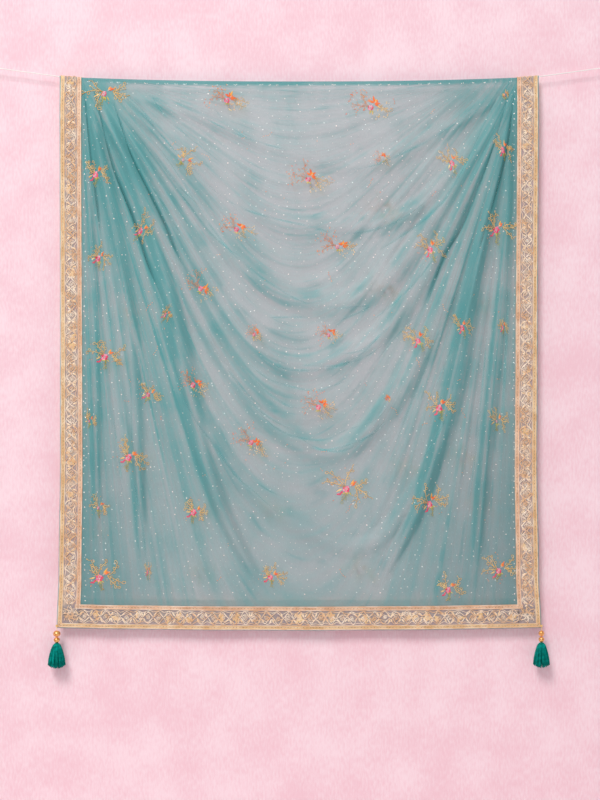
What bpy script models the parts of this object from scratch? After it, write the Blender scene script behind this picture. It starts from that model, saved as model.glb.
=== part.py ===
"""Dupatta stole of sheer organza, hung by its middle over a thin cotton line.

Half of the cloth falls in front of the line and half behind it. Gold lace runs round its
edges, and two beads and a silk tassel hang from each of the two front corners.
Units are metres, +Z is up and the front faces -Y. The origin is on the axis of the line,
at the middle of the cloth, where the fold rests. "Down" is a distance below the origin.
"""
import math
from collections import namedtuple

import bmesh
import bpy
from mathutils import Vector

# The cloth
CLOTH_WIDE = 1.000
WALL = 0.0012
SEAM = 0.0003
HEM_MIDDLE = 1.1443
HEM_CORNER = 1.1390
BACK_SHORTER = 0.012
HALF_GAP = 0.006
SPREAD_TALL = 0.060
PRESSED = 0.012

# The lace round the edges
LACE_WIDE = 0.046
LACE_THICK = 0.0010
HEM_SHOWS = 0.002

# The line that holds it
LINE_RADIUS = 0.00125
LINE_POINTS = 56
LACE_INNER_X = CLOTH_WIDE / 2 - LACE_WIDE
LACE_OUTER_X = 0.505
RISE_AT_LACE = 0.0080
RISE_POWER = 2.4
OUTER_SLOPE = 0.138
LINE_END_X = 0.631
KNOT_LONG = 0.012
KNOT_RADIUS = 0.0032
KNOT_RIDGES = 3
KNOT_WAIST = 0.72
LOOP_LONG = 0.024
LOOP_WIDE = 0.013
LOOP_NARROW = 0.40
LOOP_POINTS = 20

FOLD_RADIUS = LINE_RADIUS + SEAM + WALL / 2
ARC_STEPS = 8
LACE_LIFT = WALL / 2 + SEAM + LACE_THICK / 2

# The cloth's two upright edges, by the share of the drop: the lower corners flare out a little
Edge = namedtuple("Edge", "down left right")
EDGES = (
    Edge(down=0.00, left=-0.500, right=0.500),
    Edge(down=0.50, left=-0.499, right=0.4975),
    Edge(down=0.70, left=-0.499, right=0.4965),
    Edge(down=0.90, left=-0.502, right=0.500),
    Edge(down=1.00, left=-0.506, right=0.505),
)

# Ridges of the front fall: where each runs (across, down), its half width at its two ends and
# in its middle, and its height. Swags hang from corner to corner, and fans run down to the hem.
Fold = namedtuple("Fold", "route narrow wide high")
FRONT_FOLDS = (
    Fold(((-0.390, 0.012), (-0.175, 0.087), (0.010, 0.154), (0.148, 0.172), (0.308, 0.098), (0.430, 0.022)),
         narrow=0.012, wide=0.034, high=0.007),
    Fold(((-0.400, 0.020), (-0.257, 0.142), (-0.100, 0.270), (0.060, 0.308), (0.252, 0.259), (0.435, 0.030)),
         narrow=0.012, wide=0.038, high=0.010),
    Fold(((-0.405, 0.030), (-0.257, 0.190), (-0.107, 0.390), (0.050, 0.466), (0.200, 0.400), (0.360, 0.165),
          (0.438, 0.035)), narrow=0.012, wide=0.038, high=0.012),
    Fold(((-0.410, 0.035), (-0.300, 0.205), (-0.190, 0.405), (-0.080, 0.560), (0.050, 0.592), (0.215, 0.480),
          (0.380, 0.175), (0.440, 0.040)), narrow=0.012, wide=0.036, high=0.012),
    Fold(((-0.410, 0.040), (-0.310, 0.255), (-0.200, 0.500), (-0.050, 0.710), (0.090, 0.767), (0.255, 0.575),
          (0.400, 0.185), (0.442, 0.045)), narrow=0.012, wide=0.036, high=0.013),
    Fold(((-0.415, 0.045), (-0.330, 0.300), (-0.240, 0.590), (-0.160, 0.780), (0.000, 0.925), (0.150, 0.965),
          (0.280, 0.790), (0.342, 0.580)), narrow=0.013, wide=0.032, high=0.009),
    Fold(((-0.420, 0.035), (-0.350, 0.190), (-0.280, 0.400), (-0.225, 0.660), (-0.165, 0.880), (-0.065, 1.080)),
         narrow=0.014, wide=0.032, high=0.017),
    Fold(((-0.438, 0.035), (-0.405, 0.200), (-0.365, 0.420), (-0.340, 0.700), (-0.325, 1.060)),
         narrow=0.012, wide=0.026, high=0.010),
    Fold(((-0.447, 0.040), (-0.438, 0.250), (-0.425, 0.550), (-0.420, 0.980)),
         narrow=0.010, wide=0.016, high=0.006),
    Fold(((0.446, 0.045), (0.410, 0.205), (0.368, 0.390), (0.325, 0.640), (0.245, 0.890), (0.160, 1.060)),
         narrow=0.013, wide=0.032, high=0.015),
    Fold(((0.449, 0.060), (0.436, 0.250), (0.418, 0.500), (0.390, 0.760), (0.365, 1.070)),
         narrow=0.012, wide=0.024, high=0.009),
)
# Ridges of the fall behind, which the front hides: fewer and broader
BACK_FOLDS = (
    Fold(((-0.420, 0.030), (-0.230, 0.260), (0.000, 0.380), (0.230, 0.260), (0.420, 0.030)),
         narrow=0.030, wide=0.070, high=0.009),
    Fold(((-0.420, 0.040), (-0.270, 0.460), (0.000, 0.720), (0.270, 0.460), (0.420, 0.040)),
         narrow=0.030, wide=0.070, high=0.010),
    Fold(((-0.430, 0.050), (-0.340, 0.500), (-0.240, 1.060)), narrow=0.030, wide=0.060, high=0.010),
    Fold(((0.430, 0.050), (0.345, 0.480), (0.270, 1.060)), narrow=0.030, wide=0.060, high=0.009),
)
ROUTE_STEPS = 8
BLEND_POWER = 3.0
FADE_TOP = 0.030
FADE_SIDE = 0.022
FADE_HEM = 0.070
TIP_SHARE = 0.14
HEM_WAVE_HIGH = 0.003
HEM_WAVE_LONG = 0.230
HEM_WAVE_START = 0.6
HEM_WAVE_FROM = 0.880
HEM_WAVE_FULL = 1.060

# What hangs from each front corner: half widths and heights of the two beads and the knot
Hanging = namedtuple("Hanging", "side x upper_wide upper_tall lower_wide lower_tall skirt_wide")
HANGINGS = (
    Hanging("left", x=-0.5050, upper_wide=0.0080, upper_tall=0.0067, lower_wide=0.0068, lower_tall=0.0060,
            skirt_wide=1.03),
    Hanging("right", x=0.5045, upper_wide=0.0062, upper_tall=0.0063, lower_wide=0.0062, lower_tall=0.0058,
            skirt_wide=0.97),
)
HANG_Y = -0.0100
KNOT_CORNER = (0.0034, 0.0024, 0.0030)
KNOT_ABOVE_HEM = 0.0050
THREAD_RADIUS = 0.0007
THREAD_BELOW_HEM = 0.0045

# Tassel head, as half widths at distances below its top, and the rings of strands under it
HEAD_PROFILE = ((0.0030, 0.0000), (0.0066, 0.0016), (0.0093, 0.0046), (0.0106, 0.0080), (0.0112, 0.0105))
StrandRing = namedtuple("StrandRing", "count root waist end")
STRAND_RINGS = (
    StrandRing(count=16, root=0.0080, waist=0.0132, end=0.0165),
    StrandRing(count=12, root=0.0058, waist=0.0093, end=0.0118),
    StrandRing(count=8, root=0.0036, waist=0.0056, end=0.0072),
    StrandRing(count=3, root=0.0014, waist=0.0020, end=0.0025),
)
STRAND_DOWN = (0.0066, 0.0220, 0.0520)
STRAND_HALF = (0.0009, 0.0014, 0.0018)
STRAND_UNEVEN = 0.0012
STRAND_TURN = 5.0

# How finely round pieces are divided, and how near points are joined
BEAD_SIDES = (12, 7)
CORNER_KNOT_SIDES = (8, 5)
HEAD_SIDES = 20
END_KNOT_SIDES = 12
WELD = 0.00001
SLOPE_STEP = 0.002

# Columns and rows of the two falls, as stretches of the width and of the drop
FRONT_COLUMNS = (
    (HEM_SHOWS, 1), (LACE_WIDE, 2), (0.270, 18), (0.364, 14), (0.270, 18), (LACE_WIDE, 2), (HEM_SHOWS, 1),
)
BACK_COLUMNS = (
    (HEM_SHOWS, 1), (LACE_WIDE, 2), (0.020, 1), (0.864, 17), (0.020, 1), (LACE_WIDE, 2), (HEM_SHOWS, 1),
)
FOLD_COLUMNS = ((HEM_SHOWS, 1), (LACE_WIDE, 4), (0.904, 15), (LACE_WIDE, 4), (HEM_SHOWS, 1))
LACE_COLUMNS = ((LACE_WIDE, 2),)
LACE_OVER_COLUMNS = ((LACE_WIDE, 4),)
FRONT_ROWS = ((SPREAD_TALL, 3), (0.860, 27), (0.165, 4), (LACE_WIDE, 1), (HEM_SHOWS, 1))
BACK_ROWS = ((SPREAD_TALL, 3), (1.013, 13), (LACE_WIDE, 1), (HEM_SHOWS, 1))
LACE_ROWS = ((SPREAD_TALL, 3), (1.025, 9))

TEAL = (0.10, 0.36, 0.36, 1.0)
GOLD_LACE = (0.62, 0.44, 0.24, 1.0)
BEAD_GOLD = (0.62, 0.30, 0.09, 1.0)
TASSEL_GREEN = (0.0, 0.21, 0.16, 1.0)
COTTON = (0.88, 0.84, 0.80, 1.0)


def clear_scene():
    """Remove whatever the file holds."""
    for thing in list(bpy.data.objects):
        bpy.data.objects.remove(thing, do_unlink=True)


def new_collection(name):
    """A collection under the scene's own."""
    made = bpy.data.collections.new(name)
    bpy.context.scene.collection.children.link(made)
    return made


def material(name, colour, roughness, metallic=0.0):
    """A Principled material with one colour."""
    made = bpy.data.materials.new(name)
    made.use_nodes = True
    shader = made.node_tree.nodes["Principled BSDF"]
    shader.inputs["Base Color"].default_value = colour
    shader.inputs["Roughness"].default_value = roughness
    shader.inputs["Metallic"].default_value = metallic
    made.diffuse_color = colour
    return made


def smooth_step(value):
    """0 below 0, 1 above 1 and an S between."""
    value = min(max(value, 0.0), 1.0)
    return value * value * (3.0 - 2.0 * value)


def mix(low, high, share):
    """The value at a share of the way from low to high."""
    return low + (high - low) * share


def line_height(x):
    """Height of the line: a soft sag under the cloth, steeper past the heavy lace."""
    x = abs(x)
    if x <= LACE_INNER_X:
        return RISE_AT_LACE * (x / LACE_INNER_X) ** RISE_POWER
    inner_slope = RISE_POWER * RISE_AT_LACE / LACE_INNER_X
    turn = (OUTER_SLOPE - inner_slope) / (LACE_OUTER_X - LACE_INNER_X)
    past = min(x, LACE_OUTER_X) - LACE_INNER_X
    height = RISE_AT_LACE + inner_slope * past + turn * past * past / 2
    return height + OUTER_SLOPE * max(0.0, x - LACE_OUTER_X)


def hem_down(across):
    """How far below the origin the front hem hangs, lowest in the middle."""
    return mix(HEM_MIDDLE, HEM_CORNER, (2.0 * across - 1.0) ** 2)


def edge_x(down_share, across):
    """The place across the cloth, between its two upright edges."""
    for upper, lower in zip(EDGES, EDGES[1:]):
        if down_share <= lower.down:
            break
    share = smooth_step((down_share - upper.down) / (lower.down - upper.down))
    return mix(mix(upper.left, lower.left, share), mix(upper.right, lower.right, share), across)


def route_points(route):
    """Points on a smooth curve through a fold's route, with the share of the way along it."""
    places = [Vector(place) for place in route]
    places = [2 * places[0] - places[1]] + places + [2 * places[-1] - places[-2]]
    spans = len(route) - 1
    points = []
    for span in range(spans):
        before, start, end, after = places[span:span + 4]
        for step in range(ROUTE_STEPS + (span == spans - 1)):
            t = step / ROUTE_STEPS
            point = 0.5 * (2 * start + (end - before) * t + (2 * before - 5 * start + 4 * end - after) * t * t
                           + (3 * start - before - 3 * end + after) * t ** 3)
            points.append(((span + t) / spans, point))
    return points


def ridge(fold, points, place):
    """Height of one ridge at a place: a round back that sinks away at its two ends."""
    share, gap = 0.0, math.inf
    for (low_share, low), (high_share, high) in zip(points, points[1:]):
        along = high - low
        t = min(max((place - low).dot(along) / along.length_squared, 0.0), 1.0)
        reach = (place - low - along * t).length
        if reach < gap:
            share, gap = mix(low_share, high_share, t), reach
    half_width = mix(fold.narrow, fold.wide, math.sin(math.pi * share))
    if gap >= half_width:
        return 0.0
    tip = smooth_step(share / TIP_SHARE) * smooth_step((1.0 - share) / TIP_SHARE)
    return fold.high * tip * (0.5 + 0.5 * math.cos(math.pi * gap / half_width))


def fold_depth(routes, x, down, hem):
    """How far the folds stand out from the plane of a fall, at a place across and down."""
    side = smooth_step((LACE_INNER_X - abs(x)) / FADE_SIDE)
    above = smooth_step((down - PRESSED) / FADE_TOP)
    below = smooth_step((hem - LACE_WIDE - HEM_SHOWS - down) / FADE_HEM)
    fade = side * above * below
    if fade == 0.0:
        return 0.0
    place = Vector((x, down))
    total = sum(ridge(fold, points, place) ** BLEND_POWER for fold, points in routes)
    return fade * total ** (1.0 / BLEND_POWER)


def hem_wave(x, down):
    """Low waves that run down into the hem between the two strips of lace."""
    side = smooth_step((LACE_INNER_X - FADE_SIDE - abs(x)) / FADE_SIDE)
    grown = smooth_step((down - HEM_WAVE_FROM) / (HEM_WAVE_FULL - HEM_WAVE_FROM))
    turn = 2 * math.pi * x / HEM_WAVE_LONG + HEM_WAVE_START
    return HEM_WAVE_HIGH * side * grown * (0.5 + 0.5 * math.sin(turn))


FRONT_ROUTES = [(fold, route_points(fold.route)) for fold in FRONT_FOLDS]
BACK_ROUTES = [(fold, route_points(fold.route)) for fold in BACK_FOLDS]


def fall_point(front, across, down_share):
    """A point of the cloth below the fold band, on the front fall or on the one behind."""
    x = edge_x(down_share, across)
    top = line_height(x) - PRESSED - SEAM
    hem = hem_down(across) - (0.0 if front else BACK_SHORTER)
    z = mix(top, -hem, down_share)
    out = mix(FOLD_RADIUS, HALF_GAP, smooth_step((top - z) / SPREAD_TALL))
    out += fold_depth(FRONT_ROUTES if front else BACK_ROUTES, x, -z, hem) + hem_wave(x, -z)
    return Vector((x, -out if front else out, z))


def front_point(across, down_share):
    """A point of the fall in front of the line."""
    return fall_point(True, across, down_share)


def back_point(across, down_share):
    """A point of the fall behind the line."""
    return fall_point(False, across, down_share)


def band_section(radius):
    """Section of the cloth over the line, front to back, with its two legs pressed together."""
    arc = [(-radius * math.cos(math.pi * step / ARC_STEPS), radius * math.sin(math.pi * step / ARC_STEPS))
           for step in range(ARC_STEPS + 1)]
    return [(-radius, -PRESSED)] + arc + [(radius, -PRESSED)]


def shares(stretches):
    """Shares of the whole from 0 to 1, for stretches given as a length and a count of steps."""
    whole = sum(length for length, count in stretches)
    places, start = [0.0], 0.0
    for length, count in stretches:
        places += [(start + length * (step + 1) / count) / whole for step in range(count)]
        start += length
    return places


def split_quads(grid, columns, rows, place):
    """Split each quad of a grid along the diagonal that lies nearer the smooth surface."""
    near_first, near_second = [], []
    for face in grid.faces:
        corners = face.verts
        column = sum(columns[vertex.index % len(columns)] for vertex in corners) / 4
        row = sum(rows[vertex.index // len(columns)] for vertex in corners) / 4
        middle = place(column, row)
        first = (corners[0].co + corners[2].co) / 2 - middle
        second = (corners[1].co + corners[3].co) / 2 - middle
        (near_first if first.length <= second.length else near_second).append(face)
    bmesh.ops.triangulate(grid, faces=near_first, quad_method="FIXED")
    bmesh.ops.triangulate(grid, faces=near_second, quad_method="ALTERNATE")


def sheet(name, collection, columns, rows, place, thickness, look, split=False):
    """A wall: a grid laid through place(column, row), given its thickness by Solidify."""
    mesh = bpy.data.meshes.new(name)
    grid = bmesh.new()
    bmesh.ops.create_grid(grid, x_segments=len(columns) - 1, y_segments=len(rows) - 1, size=0.5)
    grid.verts.index_update()
    for vertex in grid.verts:
        vertex.co = place(columns[vertex.index % len(columns)], rows[vertex.index // len(columns)])
    if split:
        split_quads(grid, columns, rows, place)
    grid.to_mesh(mesh)
    grid.free()
    mesh.shade_smooth()
    made = bpy.data.objects.new(name, mesh)
    collection.objects.link(made)
    wall = made.modifiers.new("wall", "SOLIDIFY")
    wall.thickness = thickness
    wall.offset = 0.0
    mesh.materials.append(look)
    return made


def moved_out(place, across, down_share, distance, outward):
    """A point of a fall moved off its face, away from the other fall."""
    here = place(across, down_share)
    beside = place(across + SLOPE_STEP, down_share) - here
    below = place(across, down_share + SLOPE_STEP) - here
    normal = beside.cross(below).normalized()
    if normal.y * outward < 0:
        normal.negate()
    return here + normal * distance


def side_lace(name, collection, place, outward, left, look):
    """The lace down one side of a fall, with its lower end cut to the mitre."""
    hem_share = HEM_SHOWS / CLOTH_WIDE
    wide_share = LACE_WIDE / CLOTH_WIDE
    drop = HEM_CORNER
    rows = shares(LACE_ROWS)

    def spot(column, row):
        across = hem_share + column * wide_share
        lowest = 1.0 - (HEM_SHOWS + column * LACE_WIDE + SEAM) / drop
        return moved_out(place, across if left else 1.0 - across, row * lowest, LACE_LIFT, outward)

    return sheet(name, collection, shares(LACE_COLUMNS), rows, spot, LACE_THICK, look)


def hem_lace(name, collection, place, outward, stretches, look):
    """The lace along the hem of a fall, on the wall's own columns, with both ends cut to the mitre."""
    inset = HEM_SHOWS / CLOTH_WIDE
    places = [share for share in shares(stretches) if inset < share < 1.0 - inset]
    last = len(places) - 1

    def spot(column, row):
        nearer = min(column, last - column)
        start = inset + (SEAM + row * LACE_WIDE) / CLOTH_WIDE
        across = places[nearer] if nearer > 1 else mix(start, places[2], nearer / 2)
        if nearer < column:
            across = 1.0 - across
        down_share = 1.0 - (HEM_SHOWS + row * LACE_WIDE) / HEM_CORNER
        return moved_out(place, across, down_share, LACE_LIFT, outward)

    return sheet(name, collection, range(len(places)), (0.0, 0.5, 1.0), spot, LACE_THICK, look)


def over_line(name, collection, start_x, stretches, wide, radius, thickness, look):
    """A strip that goes over the line: the cloth's fold, or the lace that lies on it."""
    section = band_section(radius)
    rows = list(range(len(section)))

    def spot(column, row):
        x = start_x + column * wide
        y, rise = section[row]
        return Vector((x, y, line_height(x) + rise))

    return sheet(name, collection, shares(stretches), rows, spot, thickness, look)


def tube(name, collection, points, radius, look, closed=False):
    """A round thread or cord through a list of points."""
    curve = bpy.data.curves.new(name, "CURVE")
    curve.dimensions = "3D"
    curve.bevel_depth = radius
    curve.bevel_resolution = 2
    curve.use_fill_caps = not closed
    spline = curve.splines.new("POLY")
    spline.points.add(len(points) - 1)
    for knot, place in zip(spline.points, points):
        knot.co = (*place, 1.0)
    spline.use_cyclic_u = closed
    curve.materials.append(look)
    made = bpy.data.objects.new(name, curve)
    collection.objects.link(made)
    return made


def turned(name, collection, profile, steps, look):
    """A solid turned about Z from half widths at heights, top first, closed on its axis."""
    mesh = bpy.data.meshes.new(name)
    outline = bmesh.new()
    places = [(0.0, profile[0][1])] + list(profile) + [(0.0, profile[-1][1])]
    points = [outline.verts.new((wide, 0.0, height)) for wide, height in places]
    for upper, lower in zip(points, points[1:]):
        outline.edges.new((upper, lower))
    outline.to_mesh(mesh)
    outline.free()
    mesh.materials.append(look)
    made = bpy.data.objects.new(name, mesh)
    collection.objects.link(made)
    spin = made.modifiers.new("turn", "SCREW")
    spin.steps = steps
    spin.render_steps = steps
    spin.use_merge_vertices = True
    spin.merge_threshold = WELD
    spin.use_smooth_shade = True
    return made


def ball(name, collection, centre, halves, sides, look):
    """A bead or a knot: a sphere with its own half sizes across, deep and tall."""
    mesh = bpy.data.meshes.new(name)
    round_form = bmesh.new()
    bmesh.ops.create_uvsphere(round_form, u_segments=sides[0], v_segments=sides[1], radius=1.0)
    bmesh.ops.scale(round_form, vec=Vector(halves), verts=round_form.verts)
    round_form.to_mesh(mesh)
    round_form.free()
    mesh.shade_smooth()
    mesh.materials.append(look)
    made = bpy.data.objects.new(name, mesh)
    made.location = centre
    collection.objects.link(made)
    return made


def strands(name, collection, skirt_wide):
    """The strands of a tassel, as 4-sided tapered tubes that start inside its head."""
    curve = bpy.data.curves.new(name, "CURVE")
    curve.dimensions = "3D"
    curve.bevel_depth = 1.0
    curve.bevel_resolution = 0
    curve.use_fill_caps = True
    for number, ring in enumerate(STRAND_RINGS):
        for strand in range(ring.count):
            angle = 2 * math.pi * (strand + 0.5 * (number % 2)) / ring.count
            spline = curve.splines.new("POLY")
            spline.points.add(len(STRAND_DOWN) - 1)
            widths = (ring.root, ring.waist * skirt_wide, ring.end * skirt_wide)
            uneven = STRAND_UNEVEN * math.sin(STRAND_TURN * strand + number)
            for knot, wide, down, half in zip(spline.points, widths, STRAND_DOWN, STRAND_HALF):
                down += uneven if down == STRAND_DOWN[-1] else 0.0
                knot.co = (wide * math.cos(angle), wide * math.sin(angle), -down, 1.0)
                knot.radius = half
    drawn = bpy.data.objects.new(name, curve)
    collection.objects.link(drawn)
    bpy.context.view_layer.update()
    depsgraph = bpy.context.evaluated_depsgraph_get()
    mesh = bpy.data.meshes.new_from_object(drawn.evaluated_get(depsgraph))
    bpy.data.objects.remove(drawn, do_unlink=True)
    welded = bmesh.new()
    welded.from_mesh(mesh)
    bmesh.ops.remove_doubles(welded, verts=welded.verts, dist=WELD)
    bmesh.ops.recalc_face_normals(welded, faces=welded.faces)
    welded.to_mesh(mesh)
    welded.free()
    made = bpy.data.objects.new(name, mesh)
    collection.objects.link(made)
    made.hide_render = True
    made.display_type = "WIRE"
    return made


def tassel(name, collection, cutters, place, skirt_wide, look):
    """A tassel: a round head with the roots of all its strands joined into it."""
    head = turned(name, collection, [(wide, -down) for wide, down in HEAD_PROFILE], HEAD_SIDES, look)
    skirt = strands(name + "_strands", cutters, skirt_wide)
    head.location = place
    skirt.location = place
    join = head.modifiers.new("strands", "BOOLEAN")
    join.operation = "UNION"
    join.object = skirt
    join.solver = "EXACT"
    return head


def build_cloth(collection, looks):
    """The two falls and the fold between them."""
    look = looks["cloth"]
    sheet("front_fall", collection, shares(FRONT_COLUMNS), shares(FRONT_ROWS), front_point, WALL, look, split=True)
    sheet("back_fall", collection, shares(BACK_COLUMNS), shares(BACK_ROWS), back_point, WALL, look, split=True)
    over_line("line_fold", collection, -CLOTH_WIDE / 2, FOLD_COLUMNS, CLOTH_WIDE, FOLD_RADIUS, WALL, look)


def build_lace(collection, looks):
    """The lace on both falls and over the line."""
    for fall, place, outward, columns in (
        ("front", front_point, -1, FRONT_COLUMNS),
        ("back", back_point, 1, BACK_COLUMNS),
    ):
        side_lace("lace_left_" + fall, collection, place, outward, True, looks["lace"])
        side_lace("lace_right_" + fall, collection, place, outward, False, looks["lace"])
        hem_lace("lace_hem_" + fall, collection, place, outward, columns, looks["lace"])
    half = CLOTH_WIDE / 2
    for side, start_x in (("left", HEM_SHOWS - half), ("right", half - HEM_SHOWS - LACE_WIDE)):
        over_line("lace_" + side + "_over_line", collection, start_x, LACE_OVER_COLUMNS, LACE_WIDE,
                  FOLD_RADIUS + LACE_LIFT, LACE_THICK, looks["lace"])


def build_hanging(collection, cutters, looks, row):
    """The knot, thread, two beads and tassel at one front corner, one under the other."""
    knot_z = KNOT_ABOVE_HEM - HEM_CORNER
    knot_y = -(HALF_GAP + LACE_LIFT + LACE_THICK / 2 + SEAM + KNOT_CORNER[1])
    ball("corner_knot_" + row.side, collection, (row.x, knot_y, knot_z), KNOT_CORNER, CORNER_KNOT_SIDES,
         looks["lace"])
    bead_top = -HEM_CORNER - THREAD_BELOW_HEM
    start = Vector((row.x, knot_y, knot_z - KNOT_CORNER[2] - SEAM))
    end = Vector((row.x, HANG_Y, bead_top + SEAM))
    thread = [start, start.lerp(end, 0.5), end]
    tube("tassel_thread_" + row.side, collection, thread, THREAD_RADIUS, looks["lace"])
    upper_z = bead_top - row.upper_tall
    lower_z = upper_z - row.upper_tall - SEAM - row.lower_tall
    ball("upper_bead_" + row.side, collection, (row.x, HANG_Y, upper_z),
         (row.upper_wide, row.upper_wide, row.upper_tall), BEAD_SIDES, looks["bead"])
    ball("lower_bead_" + row.side, collection, (row.x, HANG_Y, lower_z),
         (row.lower_wide, row.lower_wide, row.lower_tall), BEAD_SIDES, looks["bead"])
    head_z = lower_z - row.lower_tall - SEAM
    place = (row.x, HANG_Y, head_z)
    tassel("tassel_" + row.side, collection, cutters, place, row.skirt_wide, looks["tassel"])


def line_place(x):
    """A point on the axis of the line."""
    return Vector((x, 0.0, line_height(x)))


def build_line(collection, looks):
    """The line, and the knot and loop that each of its ends is tied in."""
    spans = LINE_POINTS - 1
    points = [line_place(LINE_END_X * (2.0 * step / spans - 1.0)) for step in range(LINE_POINTS)]
    tube("hanging_line", collection, points, LINE_RADIUS, looks["line"])
    steps = 4 * KNOT_RIDGES
    for side, sign in (("left", -1), ("right", 1)):
        along = Vector((sign, 0.0, OUTER_SLOPE)).normalized()
        up = Vector((-sign * along.z, 0.0, abs(along.x)))
        knot_start = line_place(sign * LINE_END_X) + along * SEAM
        swells = [abs(math.sin(math.pi * KNOT_RIDGES * step / steps)) for step in range(steps + 1)]
        profile = [(KNOT_RADIUS * mix(KNOT_WAIST, 1.0, swell), -KNOT_LONG * step / steps)
                   for step, swell in enumerate(swells)]
        knot = turned("end_knot_" + side, collection, profile, END_KNOT_SIDES, looks["line"])
        knot.location = knot_start + along * KNOT_LONG
        knot.rotation_mode = "QUATERNION"
        knot.rotation_quaternion = along.to_track_quat("Z", "Y")
        loop_start = knot_start + along * (KNOT_LONG + SEAM + LINE_RADIUS)
        loop = []
        for step in range(LOOP_POINTS):
            angle = 2 * math.pi * step / LOOP_POINTS
            reach = 0.5 - 0.5 * math.cos(angle)
            swell = math.sin(angle) * mix(LOOP_NARROW, 1.0, reach)
            loop.append(loop_start + along * (LOOP_LONG * reach) + up * (LOOP_WIDE / 2 * swell))
        tube("end_loop_" + side, collection, loop, LINE_RADIUS, looks["line"], closed=True)


def build():
    """Build every piece of the stole and of the line that holds it."""
    clear_scene()
    stole = new_collection("dupatta_stole")
    cutters = new_collection("cutters")
    looks = {
        "cloth": material("organza", TEAL, 0.55),
        "lace": material("gold_lace", GOLD_LACE, 0.45, 0.3),
        "bead": material("gold_bead", BEAD_GOLD, 0.25, 0.8),
        "tassel": material("silk_tassel", TASSEL_GREEN, 0.6),
        "line": material("cotton_line", COTTON, 0.85),
    }
    build_cloth(stole, looks)
    build_lace(stole, looks)
    for row in HANGINGS:
        build_hanging(stole, cutters, looks, row)
    build_line(stole, looks)


build()
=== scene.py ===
"""Looks of the dupatta stole of sheer organza, hung by its middle over a thin cotton line.

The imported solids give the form. Over them go the sheer cloth with its creases, the lace
with its net, braids and looped cords, the sewn flowers and sequins, the beads and silk
tassels, and the twisted line. Units are metres, +Z is up and the front faces -Y.
"Down" is a distance below the origin, which is the middle of the fold over the line.
"""
import math
import random
from collections import namedtuple

import bpy
import numpy as np
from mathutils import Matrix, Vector


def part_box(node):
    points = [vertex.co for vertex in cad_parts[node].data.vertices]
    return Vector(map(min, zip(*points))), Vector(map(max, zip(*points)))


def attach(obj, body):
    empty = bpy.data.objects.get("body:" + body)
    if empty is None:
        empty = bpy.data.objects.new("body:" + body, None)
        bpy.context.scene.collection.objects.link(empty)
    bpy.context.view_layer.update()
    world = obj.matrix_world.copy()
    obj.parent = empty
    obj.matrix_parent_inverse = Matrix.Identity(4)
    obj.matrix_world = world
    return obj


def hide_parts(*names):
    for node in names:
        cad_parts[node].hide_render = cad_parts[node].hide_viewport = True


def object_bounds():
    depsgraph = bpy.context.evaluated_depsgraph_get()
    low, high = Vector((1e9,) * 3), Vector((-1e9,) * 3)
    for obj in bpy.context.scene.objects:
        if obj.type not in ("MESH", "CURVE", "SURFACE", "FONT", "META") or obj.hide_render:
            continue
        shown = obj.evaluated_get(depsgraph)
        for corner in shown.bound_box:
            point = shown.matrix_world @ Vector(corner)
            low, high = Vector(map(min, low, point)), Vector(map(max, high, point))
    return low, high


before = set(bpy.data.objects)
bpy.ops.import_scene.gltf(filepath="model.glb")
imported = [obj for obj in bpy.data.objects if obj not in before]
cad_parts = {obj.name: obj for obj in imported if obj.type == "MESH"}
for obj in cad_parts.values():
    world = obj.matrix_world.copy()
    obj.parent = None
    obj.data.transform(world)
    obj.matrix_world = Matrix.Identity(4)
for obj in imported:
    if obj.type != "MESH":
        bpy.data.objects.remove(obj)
cad_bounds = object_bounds()

BODY = "root"

# The cloth and the line, as the solids have them
CLOTH_WIDE = 1.000
HEM_MIDDLE = 1.1443
HEM_CORNER = 1.1390
BACK_SHORTER = 0.012
HALF_GAP = 0.006
SPREAD_TALL = 0.060
PRESSED = 0.012
FOLD_RADIUS = 0.00215
ARC_HALF = math.pi / 2 * FOLD_RADIUS
LACE_WIDE = 0.046
HEM_SHOWS = 0.002
LINE_RADIUS = 0.00125
LINE_POINTS = 56
LACE_INNER_X = CLOTH_WIDE / 2 - LACE_WIDE
LACE_OUTER_X = 0.505
SIDE_LACE = 0.0432
HEM_LACE = 0.0482
SIDE_SPREAD = 0.06
SIDE_SPREAD_LONG = 1.10
RISE_AT_LACE = 0.0080
RISE_POWER = 2.4
OUTER_SLOPE = 0.138
LINE_END_X = 0.631

# The two upright edges of the cloth, by the share of the drop
EDGE_DOWN = (0.0, 0.5, 0.7, 0.9, 1.0)
EDGE_LEFT = (-0.500, -0.499, -0.499, -0.502, -0.506)
EDGE_RIGHT = (0.500, 0.4975, 0.4965, 0.500, 0.505)

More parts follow.
